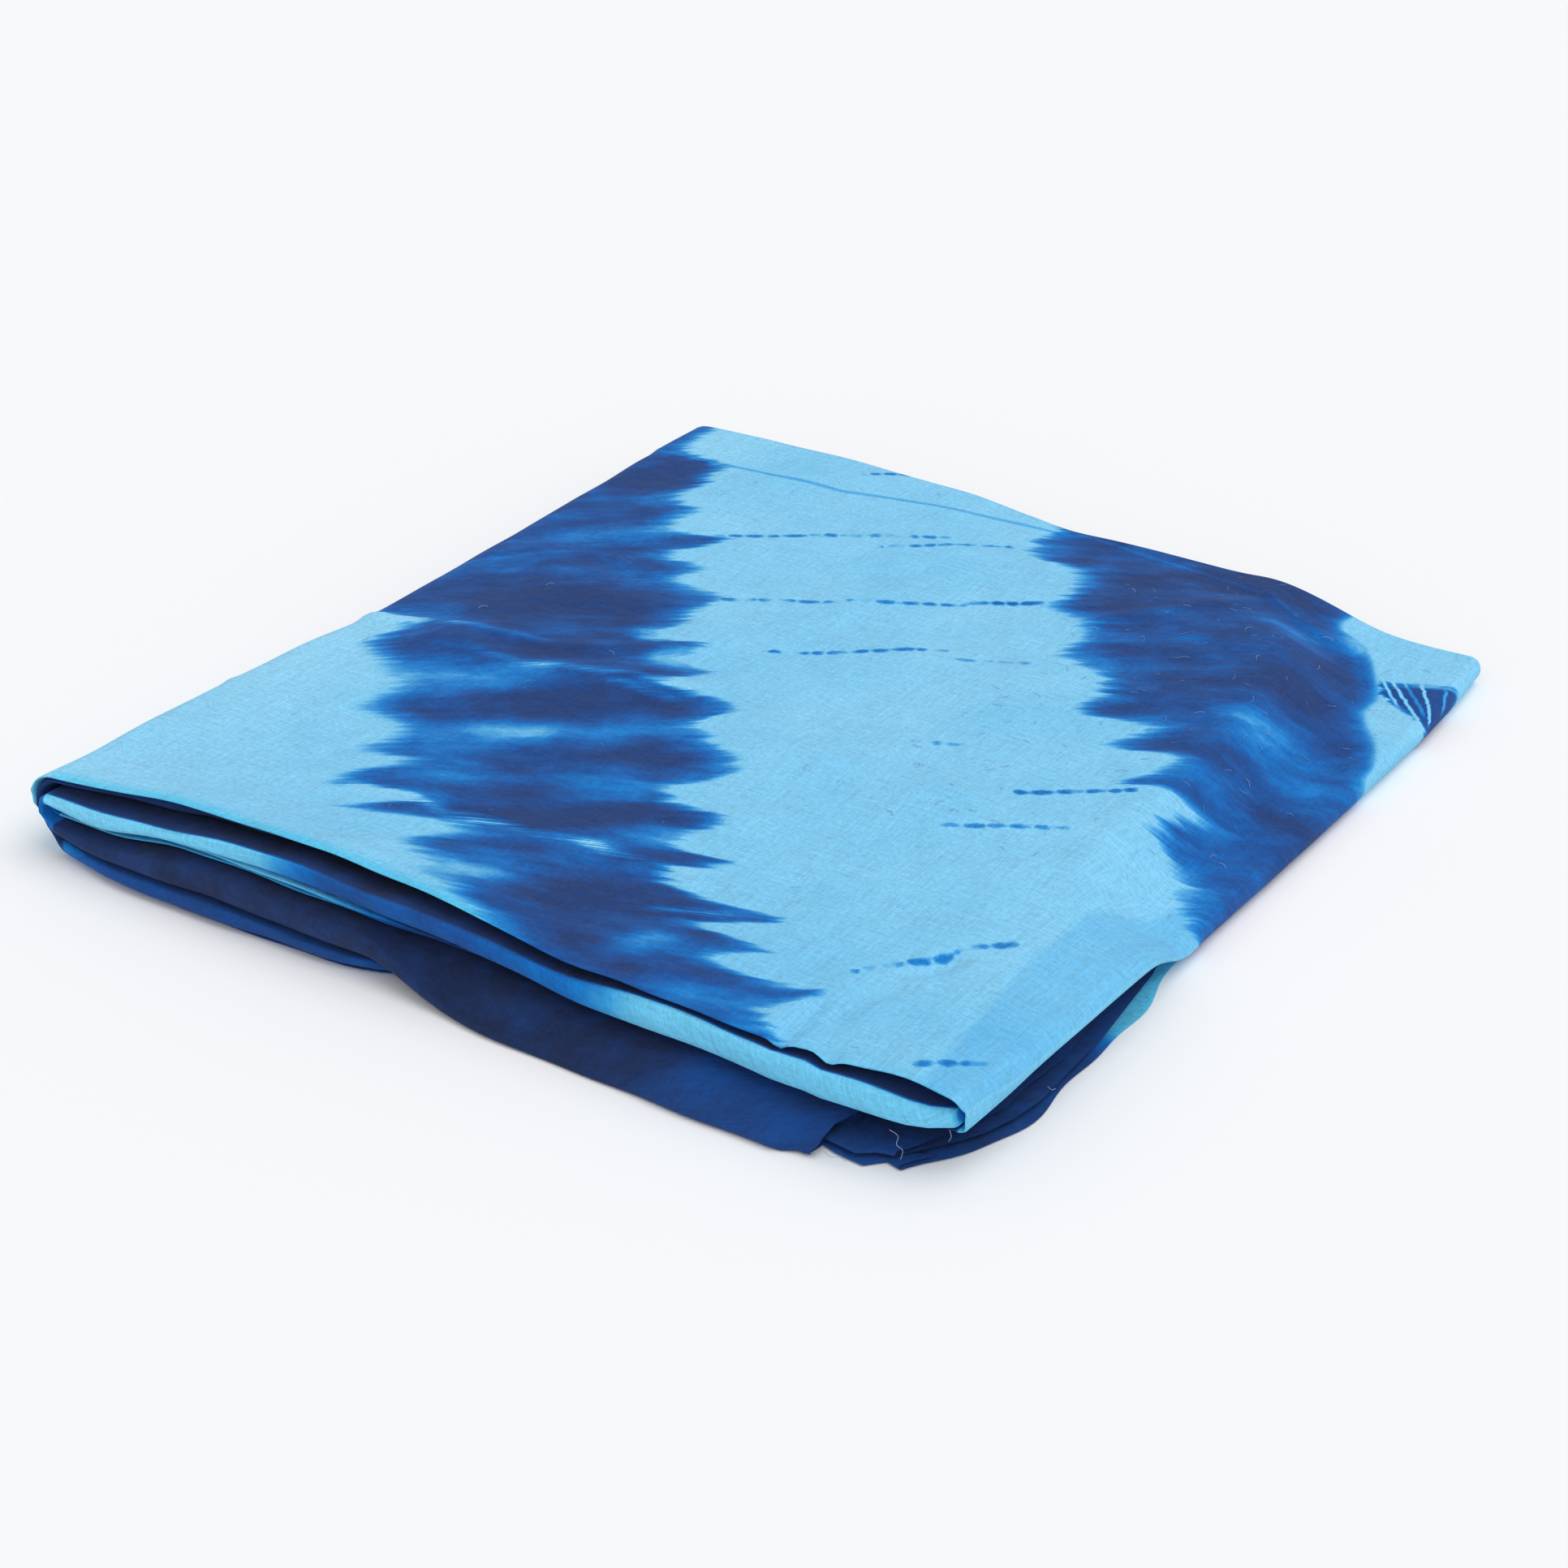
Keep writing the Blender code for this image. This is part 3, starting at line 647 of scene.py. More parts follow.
edge_part[rows_of["left_bend"]] = (offset[0] < 0.3) * near_front

# Painted shade: pale cloth in the shade of the pile is painted greener and darker: the
# front faces, the layers under the top one, the edge of the top layer on the left, and the
# lower sides of the bends. The pale cloth on the right is a little deeper where two darker
# layers show through it.
LIP_DEPTH = (0.5, 9.0)
LIP_FADE = 0.75
LIP_FADE_X = (20, 110)
BEND_SHADE_TINT = 0.6
SECOND_RUN_SHADE_TINT = 0.6
SEE_THROUGH_EDGE = ((182, -24), (167, -77), (167, -121), (173, -182), (176, -205))
SEE_THROUGH_DYE = 0.055
SEE_THROUGH_START = {"x": 150, "level": 9.0, "y": (-20, -30)}
FRONT_RIGHT_DARKER_BY = 0.020
FRONT_RIGHT = {"x": (-60, 40), "y": (-60, -200)}
LEFT_PALER_BY = 0.050
LEFT_PALER_X = (-120, -190)
part_x, part_y = grid[..., 0], grid[..., 1]
# Painted shade tint: 1 where the colour is painted greener and darker as pale cloth looks in shade
painted_shade_tint = np.ones((rows, columns))
top_sheet = offset[0] > 0.9
lip_shade = (1 - ease(*LIP_DEPTH, depth[0])) * (1 - LIP_FADE * ease(*LIP_FADE_X, part_x[top_rows]))
painted_shade_tint[top_rows] = np.where(top_sheet, lip_shade, 1.0)
for bend in ("left_bend", "right_bend"):
    turned = np.array(places_along[bend])[:, None]
    painted_shade_tint[rows_of[bend]] = np.where(top_sheet, BEND_SHADE_TINT * (1 - ease(-70, 70, turned)), 1.0)
painted_shade_tint[rows_of["second"]] = SECOND_RUN_SHADE_TINT
past_edge = line_distance(part_x, part_y, SEE_THROUGH_EDGE)
top_tone_change = SEE_THROUGH_DYE * ease(-1.5, 1.5, past_edge) * ease(*SEE_THROUGH_START["y"], part_y)
top_tone_change *= (part_x > SEE_THROUGH_START["x"]) * (row_level > SEE_THROUGH_START["level"])
# The top layer is also made a little darker towards the front right and paler towards the left
top_tone_change += FRONT_RIGHT_DARKER_BY * ease(*FRONT_RIGHT["x"], part_x) * ease(*FRONT_RIGHT["y"], part_y)
top_tone_change -= LEFT_PALER_BY * ease(*LEFT_PALER_X, part_x)


def grid_quads(row_count, column_count):
    """Corners of the faces of a mesh whose points lie in rows and columns."""
    index = np.arange(row_count * column_count).reshape(row_count, column_count)
    corners = (index[:-1, :-1], index[1:, :-1], index[1:, 1:], index[:-1, 1:])
    return np.stack(corners, axis=-1).reshape(-1, 4)


mesh = bpy.data.meshes.new("Dyed cloth")
mesh.vertices.add(rows * columns)
mesh.vertices.foreach_set("co", (grid * MM).astype(np.float32).ravel())
quads = grid_quads(rows, columns)
mesh.loops.add(quads.size)
mesh.loops.foreach_set("vertex_index", quads.ravel().astype(np.int32))
mesh.polygons.add(len(quads))
mesh.polygons.foreach_set("loop_start", np.arange(0, quads.size, 4, dtype=np.int32))
mesh.update(calc_edges=True)
mesh.validate()
mesh.shade_smooth()
flat_map = mesh.uv_layers.new(name="Unfolded")
flat_places = np.stack([flat_x.ravel(), flat_y.ravel()], axis=-1) * MM
flat_map.uv.foreach_set("vector", flat_places[quads.ravel()].astype(np.float32).ravel())
for name, values in (("Cloud", cloud), ("Edge dye", edge_dye), ("Edge part", edge_part),
                     ("Painted shade tint", painted_shade_tint), ("Top tone change", top_tone_change)):
    attribute = mesh.attributes.new(name, "FLOAT", "POINT")
    attribute.data.foreach_set("value", values.astype(np.float32).ravel())
cloth = bpy.data.objects.new("dyed_cloth", mesh)
bpy.context.scene.collection.objects.link(cloth)

# Dyed cloth, the dye
# Cotton dyed blue and navy. Bands of pale cloth were gathered on stitches before
# the dye, which ran along the gathers in fingers and left a row of dashes at each
# thread.
CURVE_SPAN = 300.0
LEFT_BORDER = (
    (-300, -80), (-200, -90), (-165, -112), (-153, -122), (-145, -121), (-126, -131), (-113, -115),
    (-101, -143), (-96, -155), (-89, -134), (-79, -156), (-69, -163), (-55, -139), (-46, -155),
    (-28, -142), (-10, -154), (-4, -161), (11, -148), (23, -152), (44, -160), (54, -167),
    (70, -152), (86, -171), (92, -180), (104, -240), (116, -300), (300, -300),
)
FIRST_BAND_BORDER = (
    (-300, 0), (-234, -3), (-226, 0), (-204, -9), (-194, 8), (-190, 2), (-176, -25), (-168, -11),
    (-156, -30), (-152, -18), (-146, -5), (-139, -28), (-125, -41), (-120, -33), (-113, -22),
    (-108, -41), (-98, -34), (-88, -24), (-82, -34), (-67, -43), (-63, -30), (-55, -18),
    (-30, -33), (-22, -36), (-14, -21), (11, -45), (19, -31), (33, -46), (44, -32), (58, -55),
    (64, -47), (75, -39), (92, -29), (102, -39), (115, -46), (122, -36), (137, -51), (144, -37),
    (151, -25), (157, -42), (168, -52), (179, -39), (196, -49), (210, -37), (220, -35),
    (236, -32), (248, -43), (291, -25), (300, -25),
)
SECOND_BAND_BORDER = (
    (-300, 300), (-168, 300), (-150, 170), (-138, 139), (-131, 137), (-119, 134), (-110, 137),
    (-103, 136), (-89, 131), (-95, 125), (-74, 142), (-80, 137), (-68, 119), (-55, 139),
    (-47, 138), (-39, 116), (-31, 129), (-24, 133), (-18, 122), (-11, 109), (4, 118), (27, 115),
    (39, 105), (51, 114), (68, 116), (83, 105), (98, 115), (112, 118), (127, 117), (138, 104),
    (159, 105), (180, 118), (300, 110),
)
RIGHT_BORDER = (
    (-300, 300), (-62, 300), (-42, 235), (-28, 214), (-18, 218), (-1, 221), (26, 222), (38, 229),
    (50, 230), (76, 230), (86, 226), (89, 223), (102, 229), (120, 260), (136, 300), (300, 300),
)
LINE_COLUMNS = ("up", "start", "up_end", "end", "strength")
STITCH_ROWS = (
    (154, -35, 154, 67, 0.46), (144, 38, 148, 94, 0.52), (92, -30, 87, 72, 0.44),
    (89, 70, 87, 112, 0.72), (41, -10, 42, 62, 0.50), (33, 62, 30, 93, 0.30),
    (217, 31, 221, 71, 0.50), (-11, 72, -10, 105, 0.14), (-35, 42, -40, 64, 0.34),
    (-75, 78, -73, 123, 0.62), (-100, 50, -104, 97, 0.42), (-195, 20, -181, 55, 0.44),
    (-181, 55, -177, 74, 0.50), (-251, 36, -246, 60, 0.42),
)
PLEAT_LINES = (
    (52, 232, 31, 236, 0.9), (52, 236, 16, 243, 1.0), (51, 241, 24, 245, 0.6),
    (50, 248, 20, 247, 1.0), (46, 257, 30, 254, 0.7),
)
RESIST_LINES = (
    (86, -171, 66, -138, 0.50), (67, -140, 57, -116, 0.42), (57, -118, 43, -86, 0.22),
    (44, -128, 26, -100, 0.20), (28, -104, 19, -74, 0.26), (21, -82, 6, -36, 0.30),
    (14, -74, -6, -38, 0.26), (-66, -158, -84, -120, 0.45), (-84, -130, -98, -92, 0.40),
    (-92, -118, -112, -62, 0.30), (-112, -70, -128, -30, 0.25), (-150, -50, -158, -14, 0.40),
    (134, -140, 140, -92, 0.22), (52, -60, 49, -34, 0.30),
)
DYE_COLOURS = (
    (0.00, "98D9F9"), (0.05, "8BD2F5"), (0.11, "74C5F0"), (0.19, "46A4E1"),
    (0.31, "1782D1"), (0.44, "056FC0"), (0.57, "0E5AA8"), (0.70, "164A90"),
    (0.83, "1B3F7B"), (0.93, "1C3364"), (1.00, "1C2A50"),
)
# Painted shadow and highlight along the step of the back hem, drawn as lines on the cloth: how much
# they darken pale cloth and lighten navy
HEM_SHADE_LINES = ((255, -63, 199, 24), (199, 24, 165, 128), (165, 128, 118, 182), (118, 182, 88, 204))
HEM_SHADOW_IN_PALE = 0.13
HEM_HIGHLIGHT_IN_NAVY = -0.16
DYE_LIMIT = 1.2


def colour(code):
    """A colour code as linear light."""
    parts = [int(code[start:start + 2], 16) / 255 for start in (0, 2, 4)]
    linear = [part / 12.92 if part <= 0.04045 else ((part + 0.055) / 1.055) ** 2.4 for part in parts]
    return (*linear, 1.0)


def wire(tree, source, socket):
    """Link an output to a socket, or set the socket to a value."""
    if isinstance(source, bpy.types.NodeSocket):
        tree.links.new(source, socket)
    else:
        socket.default_value = source


def set_inputs(tree, node, inputs):
    """Link or set the inputs of a node by name or number."""
    for name, source in inputs.items():
        wire(tree, source, node.inputs[name])


def add_node(tree, kind, inputs, **settings):
    """A node with its settings and inputs."""
    node = tree.nodes.new(kind)
    for name, value in settings.items():
        setattr(node, name, value)
    set_inputs(tree, node, inputs)
    return node


def calc(tree, operation, *sources, limit=False):
    """A Math node on values or outputs."""
    inputs = dict(enumerate(sources))
    return add_node(tree, "ShaderNodeMath", inputs, operation=operation, use_clamp=limit).outputs[0]


def ease_node(tree, value, low, high, start=0.0, end=1.0):
    """A Map Range node that eases from start at low to end at high."""
    inputs = {"Value": value, "From Min": low, "From Max": high, "To Min": start, "To Max": end}
    return add_node(tree, "ShaderNodeMapRange", inputs, interpolation_type="SMOOTHSTEP").outputs[0]


def noise_node(tree, vector, scale, detail=2.0, rough=0.5, stretch=(1.0, 1.0, 1.0), shift=0.0):
    """Noise of the given scale in a stretched space, from 0 to 1."""
    scaled = add_node(tree, "ShaderNodeVectorMath", {0: vector, 1: stretch, 2: (shift, shift, shift)},
                      operation="MULTIPLY_ADD")
    inputs = {"Vector": scaled.outputs[0], "Scale": scale, "Detail": detail, "Roughness": rough}
    return add_node(tree, "ShaderNodeTexNoise", inputs, noise_dimensions="3D").outputs[0]


def curve_node(tree, value, points, span):
    """A Float Curve through points whose two numbers both run from -span to span."""
    part = calc(tree, "MULTIPLY_ADD", value, 0.5 / span, 0.5, limit=True)
    node = add_node(tree, "ShaderNodeFloatCurve", {"Value": part})
    curve = node.mapping.curves[0]
    placed = sorted(points)
    while len(curve.points) < len(placed):
        curve.points.new(0.5, 0.5)
    for point, (place, height) in zip(curve.points, placed):
        point.location = (place * 0.5 / span + 0.5, height * 0.5 / span + 0.5)
    node.mapping.update()
    return calc(tree, "MULTIPLY_ADD", node.outputs[0], 2 * span, -span)


def new_group(name, inputs, outputs):
    """An empty shader group with float or vector sockets."""
    tree = bpy.data.node_groups.new(name, "ShaderNodeTree")
    for label, kind in inputs:
        tree.interface.new_socket(name=label, in_out="INPUT", socket_type=kind)
    for label, kind in outputs:
        tree.interface.new_socket(name=label, in_out="OUTPUT", socket_type=kind)
    return tree, tree.nodes.new("NodeGroupInput"), tree.nodes.new("NodeGroupOutput")


def swinging(tree, noise, swing):
    """Noise from 0 to 1 made into a change of half the swing to each side of 0."""
    return calc(tree, "MULTIPLY_ADD", noise, swing, -swing / 2)


def drawn_line(tree, across, up, line):
    """Distance along and away from a short line on the cloth, with its length."""
    run_across = line["end"] - line["start"]
    run_up = line["up_end"] - line["up"]
    length = math.hypot(run_across, run_up)
    turn = (run_across / length, run_up / length)
    near_across = calc(tree, "SUBTRACT", across, float(line["start"]))
    near_up = calc(tree, "SUBTRACT", up, float(line["up"]))
    along = calc(tree, "MULTIPLY", near_across, turn[0])
    along = calc(tree, "MULTIPLY_ADD", near_up, turn[1], along)
    away = calc(tree, "MULTIPLY", near_up, turn[0])
    away = calc(tree, "MULTIPLY_ADD", near_across, -turn[1], away)
    return along, away, length


def line_group(tree, group, across, up, line, place):
    """What a group draws along one short line on the cloth."""
    along, away, length = drawn_line(tree, across, up, line)
    inputs = {"Along": along, "Away": away, "Length": length, "Strength": line["strength"],
              "Place": place}
    return add_node(tree, "ShaderNodeGroup", inputs, node_tree=group).outputs[0]


FLOAT = "NodeSocketFloat"
VECTOR = "NodeSocketVector"
LINE_SOCKETS = (("Along", FLOAT), ("Away", FLOAT), ("Length", FLOAT), ("Strength", FLOAT),
                ("Place", VECTOR))

# Group: one row of dashes, where the dye crept in along a thread
DASH_PITCH = 8.2
DASH_UNEVEN = 1.8
DASH_HALF_LENGTH = 0.56
DASH_HALF_WIDTH = 2.3
DASH_WANDER = 7.0
DASH_FUZZ = 1.1
PATCHY_NOISE = (0.34, 0.56)
PATCHY_DYE = (0.42, 1.12)
HALO_FUZZ = 2.5
HALO_REACH = (6.0, 1.0)
HALO_DYE = 0.26
THREAD_REACH = (1.7, 0.3)
THREAD_DYE = 0.22
ROW_END = 3.0
dash_tree, dash_in, dash_out = new_group("Stitch dashes", LINE_SOCKETS, (("Dye", FLOAT),))
wander = noise_node(dash_tree, dash_in.outputs["Place"], 0.03, 1.0)
away = calc(dash_tree, "ADD", dash_in.outputs["Away"], swinging(dash_tree, wander, DASH_WANDER))
uneven = noise_node(dash_tree, dash_in.outputs["Place"], 1.0, 1.0, 0.5, (0.07, 0.02, 1.0), 40.0)
turns = calc(dash_tree, "MULTIPLY", uneven, DASH_UNEVEN)
turns = calc(dash_tree, "MULTIPLY_ADD", dash_in.outputs["Along"], 1.0 / DASH_PITCH, turns)
swing = calc(dash_tree, "FRACT", turns)
swing = calc(dash_tree, "ABSOLUTE", calc(dash_tree, "SUBTRACT", swing, 0.5))
patchy = noise_node(dash_tree, dash_in.outputs["Place"], 1.0, 1.0, 0.5, (0.075, 0.03, 1.0), 90.0)
patchy = ease_node(dash_tree, patchy, *PATCHY_NOISE, *PATCHY_DYE)
fuzz = noise_node(dash_tree, dash_in.outputs["Place"], 0.45, 2.0)
along_part = calc(dash_tree, "MULTIPLY", swing, 1.0 / DASH_HALF_LENGTH)
along_part = calc(dash_tree, "POWER", along_part, 2.4)
away_part = calc(dash_tree, "MULTIPLY", away, 1.0 / DASH_HALF_WIDTH)
away_part = calc(dash_tree, "MULTIPLY", away_part, away_part)
spread = calc(dash_tree, "ADD", along_part, away_part)
spread = calc(dash_tree, "MULTIPLY_ADD", fuzz, DASH_FUZZ, spread)
core = ease_node(dash_tree, spread, 1.9, 0.1)
distance = calc(dash_tree, "MULTIPLY_ADD", fuzz, HALO_FUZZ, calc(dash_tree, "ABSOLUTE", away))
halo = ease_node(dash_tree, distance, *HALO_REACH, 0.0, HALO_DYE)
thread = calc(dash_tree, "ABSOLUTE", away)
thread = ease_node(dash_tree, thread, *THREAD_REACH, 0.0, THREAD_DYE)
halo = calc(dash_tree, "MAXIMUM", halo, thread)
starts = ease_node(dash_tree, dash_in.outputs["Along"], -ROW_END, ROW_END)
past_end = calc(dash_tree, "SUBTRACT", dash_in.outputs["Along"], dash_in.outputs["Length"])
ends = ease_node(dash_tree, past_end, ROW_END, -ROW_END)
inside = calc(dash_tree, "MULTIPLY", starts, ends)
stain = calc(dash_tree, "MAXIMUM", core, halo)
stain = calc(dash_tree, "MULTIPLY", stain, patchy)
stain = calc(dash_tree, "MULTIPLY", stain, inside)
stain = calc(dash_tree, "MULTIPLY", stain, dash_in.outputs["Strength"])
dash_tree.links.new(stain, dash_out.inputs["Dye"])

# Group: one pale line, where a fold kept the dye out
RESIST_WANDER = 5.0
RESIST_REACH = (4.5, 0.2)
RESIST_START = (-4.0, 9.0)
RESIST_END = (4.0, -9.0)
resist_tree, resist_in, resist_out = new_group("Resist line", LINE_SOCKETS, (("Pale", FLOAT),))
wander = noise_node(resist_tree, resist_in.outputs["Place"], 0.045, 2.0)
wander = swinging(resist_tree, wander, RESIST_WANDER)
away = calc(resist_tree, "ABSOLUTE", calc(resist_tree, "ADD", resist_in.outputs["Away"], wander))
streaky = noise_node(resist_tree, resist_in.outputs["Place"], 1.0, 3.0, 0.6, (0.04, 1.1, 1.0), 12.0)
streaky = ease_node(resist_tree, streaky, 0.40, 0.60, 0.35, 1.35)
pale = ease_node(resist_tree, away, *RESIST_REACH)
starts = ease_node(resist_tree, resist_in.outputs["Along"], *RESIST_START)
past_end = calc(resist_tree, "SUBTRACT", resist_in.outputs["Along"], resist_in.outputs["Length"])
ends = ease_node(resist_tree, past_end, *RESIST_END)
pale = calc(resist_tree, "MULTIPLY", pale, calc(resist_tree, "MULTIPLY", starts, ends))
pale = calc(resist_tree, "MULTIPLY", pale, streaky)
pale = calc(resist_tree, "MULTIPLY", pale, resist_in.outputs["Strength"])
resist_tree.links.new(pale, resist_out.inputs["Pale"])

# Group: the bands of dye on the unfolded cloth
band_tree, band_in, band_out = new_group(
    "Shibori bands",
    (("Place", VECTOR), ("Cloud", FLOAT)),
    (("Dye", FLOAT),),
)


def dot(tree, vector, direction):
    """Dot product of a vector with a fixed direction."""
    inputs = {0: vector, 1: direction}
    return add_node(tree, "ShaderNodeVectorMath", inputs, operation="DOT_PRODUCT").outputs["Value"]


# How far the top layer reaches from the middle in both directions. Past that the bands
# repeat across, and run back up, on the layers below it.
ACROSS_REACH = 283.0
UP_REACH = 290.0
# The gathers slant down to the right in the front half of the first band
SLANT_UP = (20.0, -160.0)
MOST_SLANT = 0.28
SLANT_ACROSS = (-125.0, -5.0)
SLANT_PIVOT = -55.0
SLANT_ENDS = (110.0, 20.0)
RAGGED_BROAD = 12.0
RAGGED_FINE = 22.0
across_value = dot(band_tree, band_in.outputs["Place"], (*ACROSS_PICTURE, 0.0))
up_value = dot(band_tree, band_in.outputs["Place"], (*UP_PICTURE, 0.0))
across_value = calc(band_tree, "WRAP", across_value, ACROSS_REACH, -ACROSS_REACH)
up_value = calc(band_tree, "ADD", up_value, UP_REACH)
up_value = calc(band_tree, "PINGPONG", up_value, 2 * UP_REACH)
up_value = calc(band_tree, "SUBTRACT", up_value, UP_REACH)
slant = ease_node(band_tree, up_value, *SLANT_UP, 0.0, MOST_SLANT)
from_pivot = calc(band_tree, "SUBTRACT", across_value, SLANT_PIVOT)
from_pivot = calc(band_tree, "MAXIMUM", from_pivot, SLANT_ACROSS[0] - SLANT_PIVOT)
from_pivot = calc(band_tree, "MINIMUM", from_pivot, SLANT_ACROSS[1] - SLANT_PIVOT)
back_to_level = ease_node(band_tree, across_value, *SLANT_ENDS)
slant = calc(band_tree, "MULTIPLY", slant, back_to_level)
slanted = calc(band_tree, "MULTIPLY_ADD", from_pivot, slant, up_value)
picture = add_node(band_tree, "ShaderNodeCombineXYZ", {"X": across_value, "Y": slanted}).outputs[0]
broad = noise_node(band_tree, picture, 1.0, 2.0, 0.5, (0.010, 0.085, 1.0))
fine = noise_node(band_tree, picture, 1.0, 4.0, 0.62, (0.026, 0.26, 1.0), shift=7.0)
ragged = calc(band_tree, "ADD", swinging(band_tree, broad, RAGGED_BROAD),
              swinging(band_tree, fine, RAGGED_FINE))
ragged_place = calc(band_tree, "ADD", across_value, ragged)


def band_depth(value, border, beyond, soft):
    """Depth of the dye past a border, where beyond is 1 on its right and -1 on its left."""
    edge = curve_node(band_tree, slanted, border, CURVE_SPAN)
    inside = calc(band_tree, "SUBTRACT", value, edge)
    inside = calc(band_tree, "MULTIPLY", inside, float(beyond))
    first = ease_node(band_tree, inside, -1.3 * soft, 2.6 * soft, 0.0, 0.52)
    second = ease_node(band_tree, inside, soft, 7.0 * soft, 0.0, 0.26)
    return calc(band_tree, "ADD", first, second)


MOTTLE = 1.3
PALEST_DYE = 0.22
PALEST_MOTTLE = 0.6
PALEST_BLEND = 0.12
DARKEST_DYE = 0.95
DRIFT = 0.12
first_band = calc(
    band_tree, "MINIMUM",
    band_depth(ragged_place, LEFT_BORDER, 1, 6.0),
    band_depth(ragged_place, FIRST_BAND_BORDER, -1, 3.2),
)
second_band = calc(
    band_tree, "MINIMUM",
    band_depth(ragged_place, SECOND_BAND_BORDER, 1, 3.4),
    band_depth(across_value, RIGHT_BORDER, -1, 1.7),
)
dye = calc(band_tree, "MAXIMUM", first_band, second_band)
streaks = noise_node(band_tree, picture, 1.0, 3.0, 0.55, (0.016, 0.10, 1.0), shift=21.0)
streaks = ease_node(band_tree, streaks, 0.36, 0.64, -0.07, 0.05)
mottle = noise_node(band_tree, picture, 0.045, 5.0, 0.65, (0.6, 1.0, 1.0), shift=3.0)
mottle = swinging(band_tree, mottle, MOTTLE)
change = calc(band_tree, "ADD", calc(band_tree, "ADD", streaks, mottle), band_in.outputs["Cloud"])
strong = ease_node(band_tree, dye, 0.05, 0.6)
dye = calc(band_tree, "MULTIPLY_ADD", change, strong, dye)
palest = calc(band_tree, "MULTIPLY_ADD", mottle, PALEST_MOTTLE, PALEST_DYE)
palest = calc(band_tree, "MULTIPLY", strong, palest)
dye = calc(band_tree, "SMOOTH_MAX", dye, palest, PALEST_BLEND)
dye = calc(band_tree, "MINIMUM", dye, DARKEST_DYE)
for line in named_rows(LINE_COLUMNS, RESIST_LINES):
    pale_line = line_group(band_tree, resist_tree, across_value, up_value, line, picture)
    dye = calc(band_tree, "SUBTRACT", dye, pale_line)
dye = calc(band_tree, "MAXIMUM", dye, 0.0)
# Painted shade along the step of the back hem: a thin darker line, a painted shadow, on pale cloth and
# a thin paler line, a painted highlight, on navy
HEM_SHADE_REACH = (1.6, 0.4)
HEM_SHADE_TURNS_AT = (0.1, 0.6)
for line in named_rows(LINE_COLUMNS, HEM_SHADE_LINES):
    along, away, length = drawn_line(band_tree, across_value, up_value, line)
    hem_shade = ease_node(band_tree, calc(band_tree, "ABSOLUTE", away), *HEM_SHADE_REACH)
    hem_shade = calc(band_tree, "MULTIPLY", hem_shade, calc(band_tree, "GREATER_THAN", along, 0.0))
    hem_shade = calc(band_tree, "MULTIPLY", hem_shade, calc(band_tree, "LESS_THAN", along, length))
    hem_shade_change = ease_node(band_tree, dye, *HEM_SHADE_TURNS_AT, HEM_SHADOW_IN_PALE, HEM_HIGHLIGHT_IN_NAVY)
    dye = calc(band_tree, "MULTIPLY_ADD", hem_shade, hem_shade_change, dye)
drift = noise_node(band_tree, picture, 0.02, 4.0, 0.6, (0.7, 1.0, 1.0), shift=33.0)
dye = calc(band_tree, "ADD", dye, calc(band_tree, "MULTIPLY", drift, DRIFT))
# The small pleated patch on the right: where it starts and ends, and how its lower edge
# rises to the left
PATCH_LEFT = (226.0, 232.0)
PATCH_RIGHT = (266.0, 260.0)
PATCH_LOW = (32.0, 42.0)
PATCH_HIGH = (51.0, 44.0)
PATCH_RISE = 1.5
PATCH_RISE_FROM = 232.0
PATCH_RAGGED = 16.0
PATCH_DYE = 0.85
PLEAT_WANDER = 2.4
PLEAT_REACH = (1.3, 0.3)
PLEAT_START = (-2.0, 3.0)
PLEAT_END = (2.0, -4.0)
patch_across = ease_node(band_tree, ragged_place, *PATCH_LEFT)
patch_right = ease_node(band_tree, across_value, *PATCH_RIGHT)
patch_edge = calc(band_tree, "ADD", up_value, swinging(band_tree, fine, PATCH_RAGGED))
patch_slope = calc(band_tree, "MULTIPLY_ADD", across_value, PATCH_RISE, -PATCH_RISE * PATCH_RISE_FROM)
patch_low = ease_node(band_tree, calc(band_tree, "ADD", patch_edge, patch_slope), *PATCH_LOW)
patch_high = ease_node(band_tree, patch_edge, *PATCH_HIGH)
patch = calc(band_tree, "MULTIPLY", patch_across, patch_right)
patch = calc(band_tree, "MULTIPLY", patch, patch_low)
patch = calc(band_tree, "MULTIPLY", patch, patch_high)
for line in named_rows(LINE_COLUMNS, PLEAT_LINES):
    along, away, length = drawn_line(band_tree, across_value, up_value, line)
    away = calc(band_tree, "SUBTRACT", away, PLEAT_WANDER / 2)
    away = calc(band_tree, "MULTIPLY_ADD", fine, PLEAT_WANDER, away)
    away = calc(band_tree, "ABSOLUTE", away)
    groove = ease_node(band_tree, away, *PLEAT_REACH, 0.0, line["strength"])
    starts = ease_node(band_tree, along, *PLEAT_START)
    ends = ease_node(band_tree, along, length + PLEAT_END[0], length + PLEAT_END[1])
    groove = calc(band_tree, "MULTIPLY", groove, starts)
    groove = calc(band_tree, "MULTIPLY", groove, ends)
    patch = calc(band_tree, "MULTIPLY", patch, calc(band_tree, "SUBTRACT", 1.0, groove))
dye = calc(band_tree, "MAXIMUM", dye, calc(band_tree, "MULTIPLY", patch, PATCH_DYE))
for line in named_rows(LINE_COLUMNS, STITCH_ROWS):
    dashes = line_group(band_tree, dash_tree, across_value, up_value, line, picture)
    dye = calc(band_tree, "MAXIMUM", dye, dashes)
band_tree.links.new(dye, band_out.inputs["Dye"])

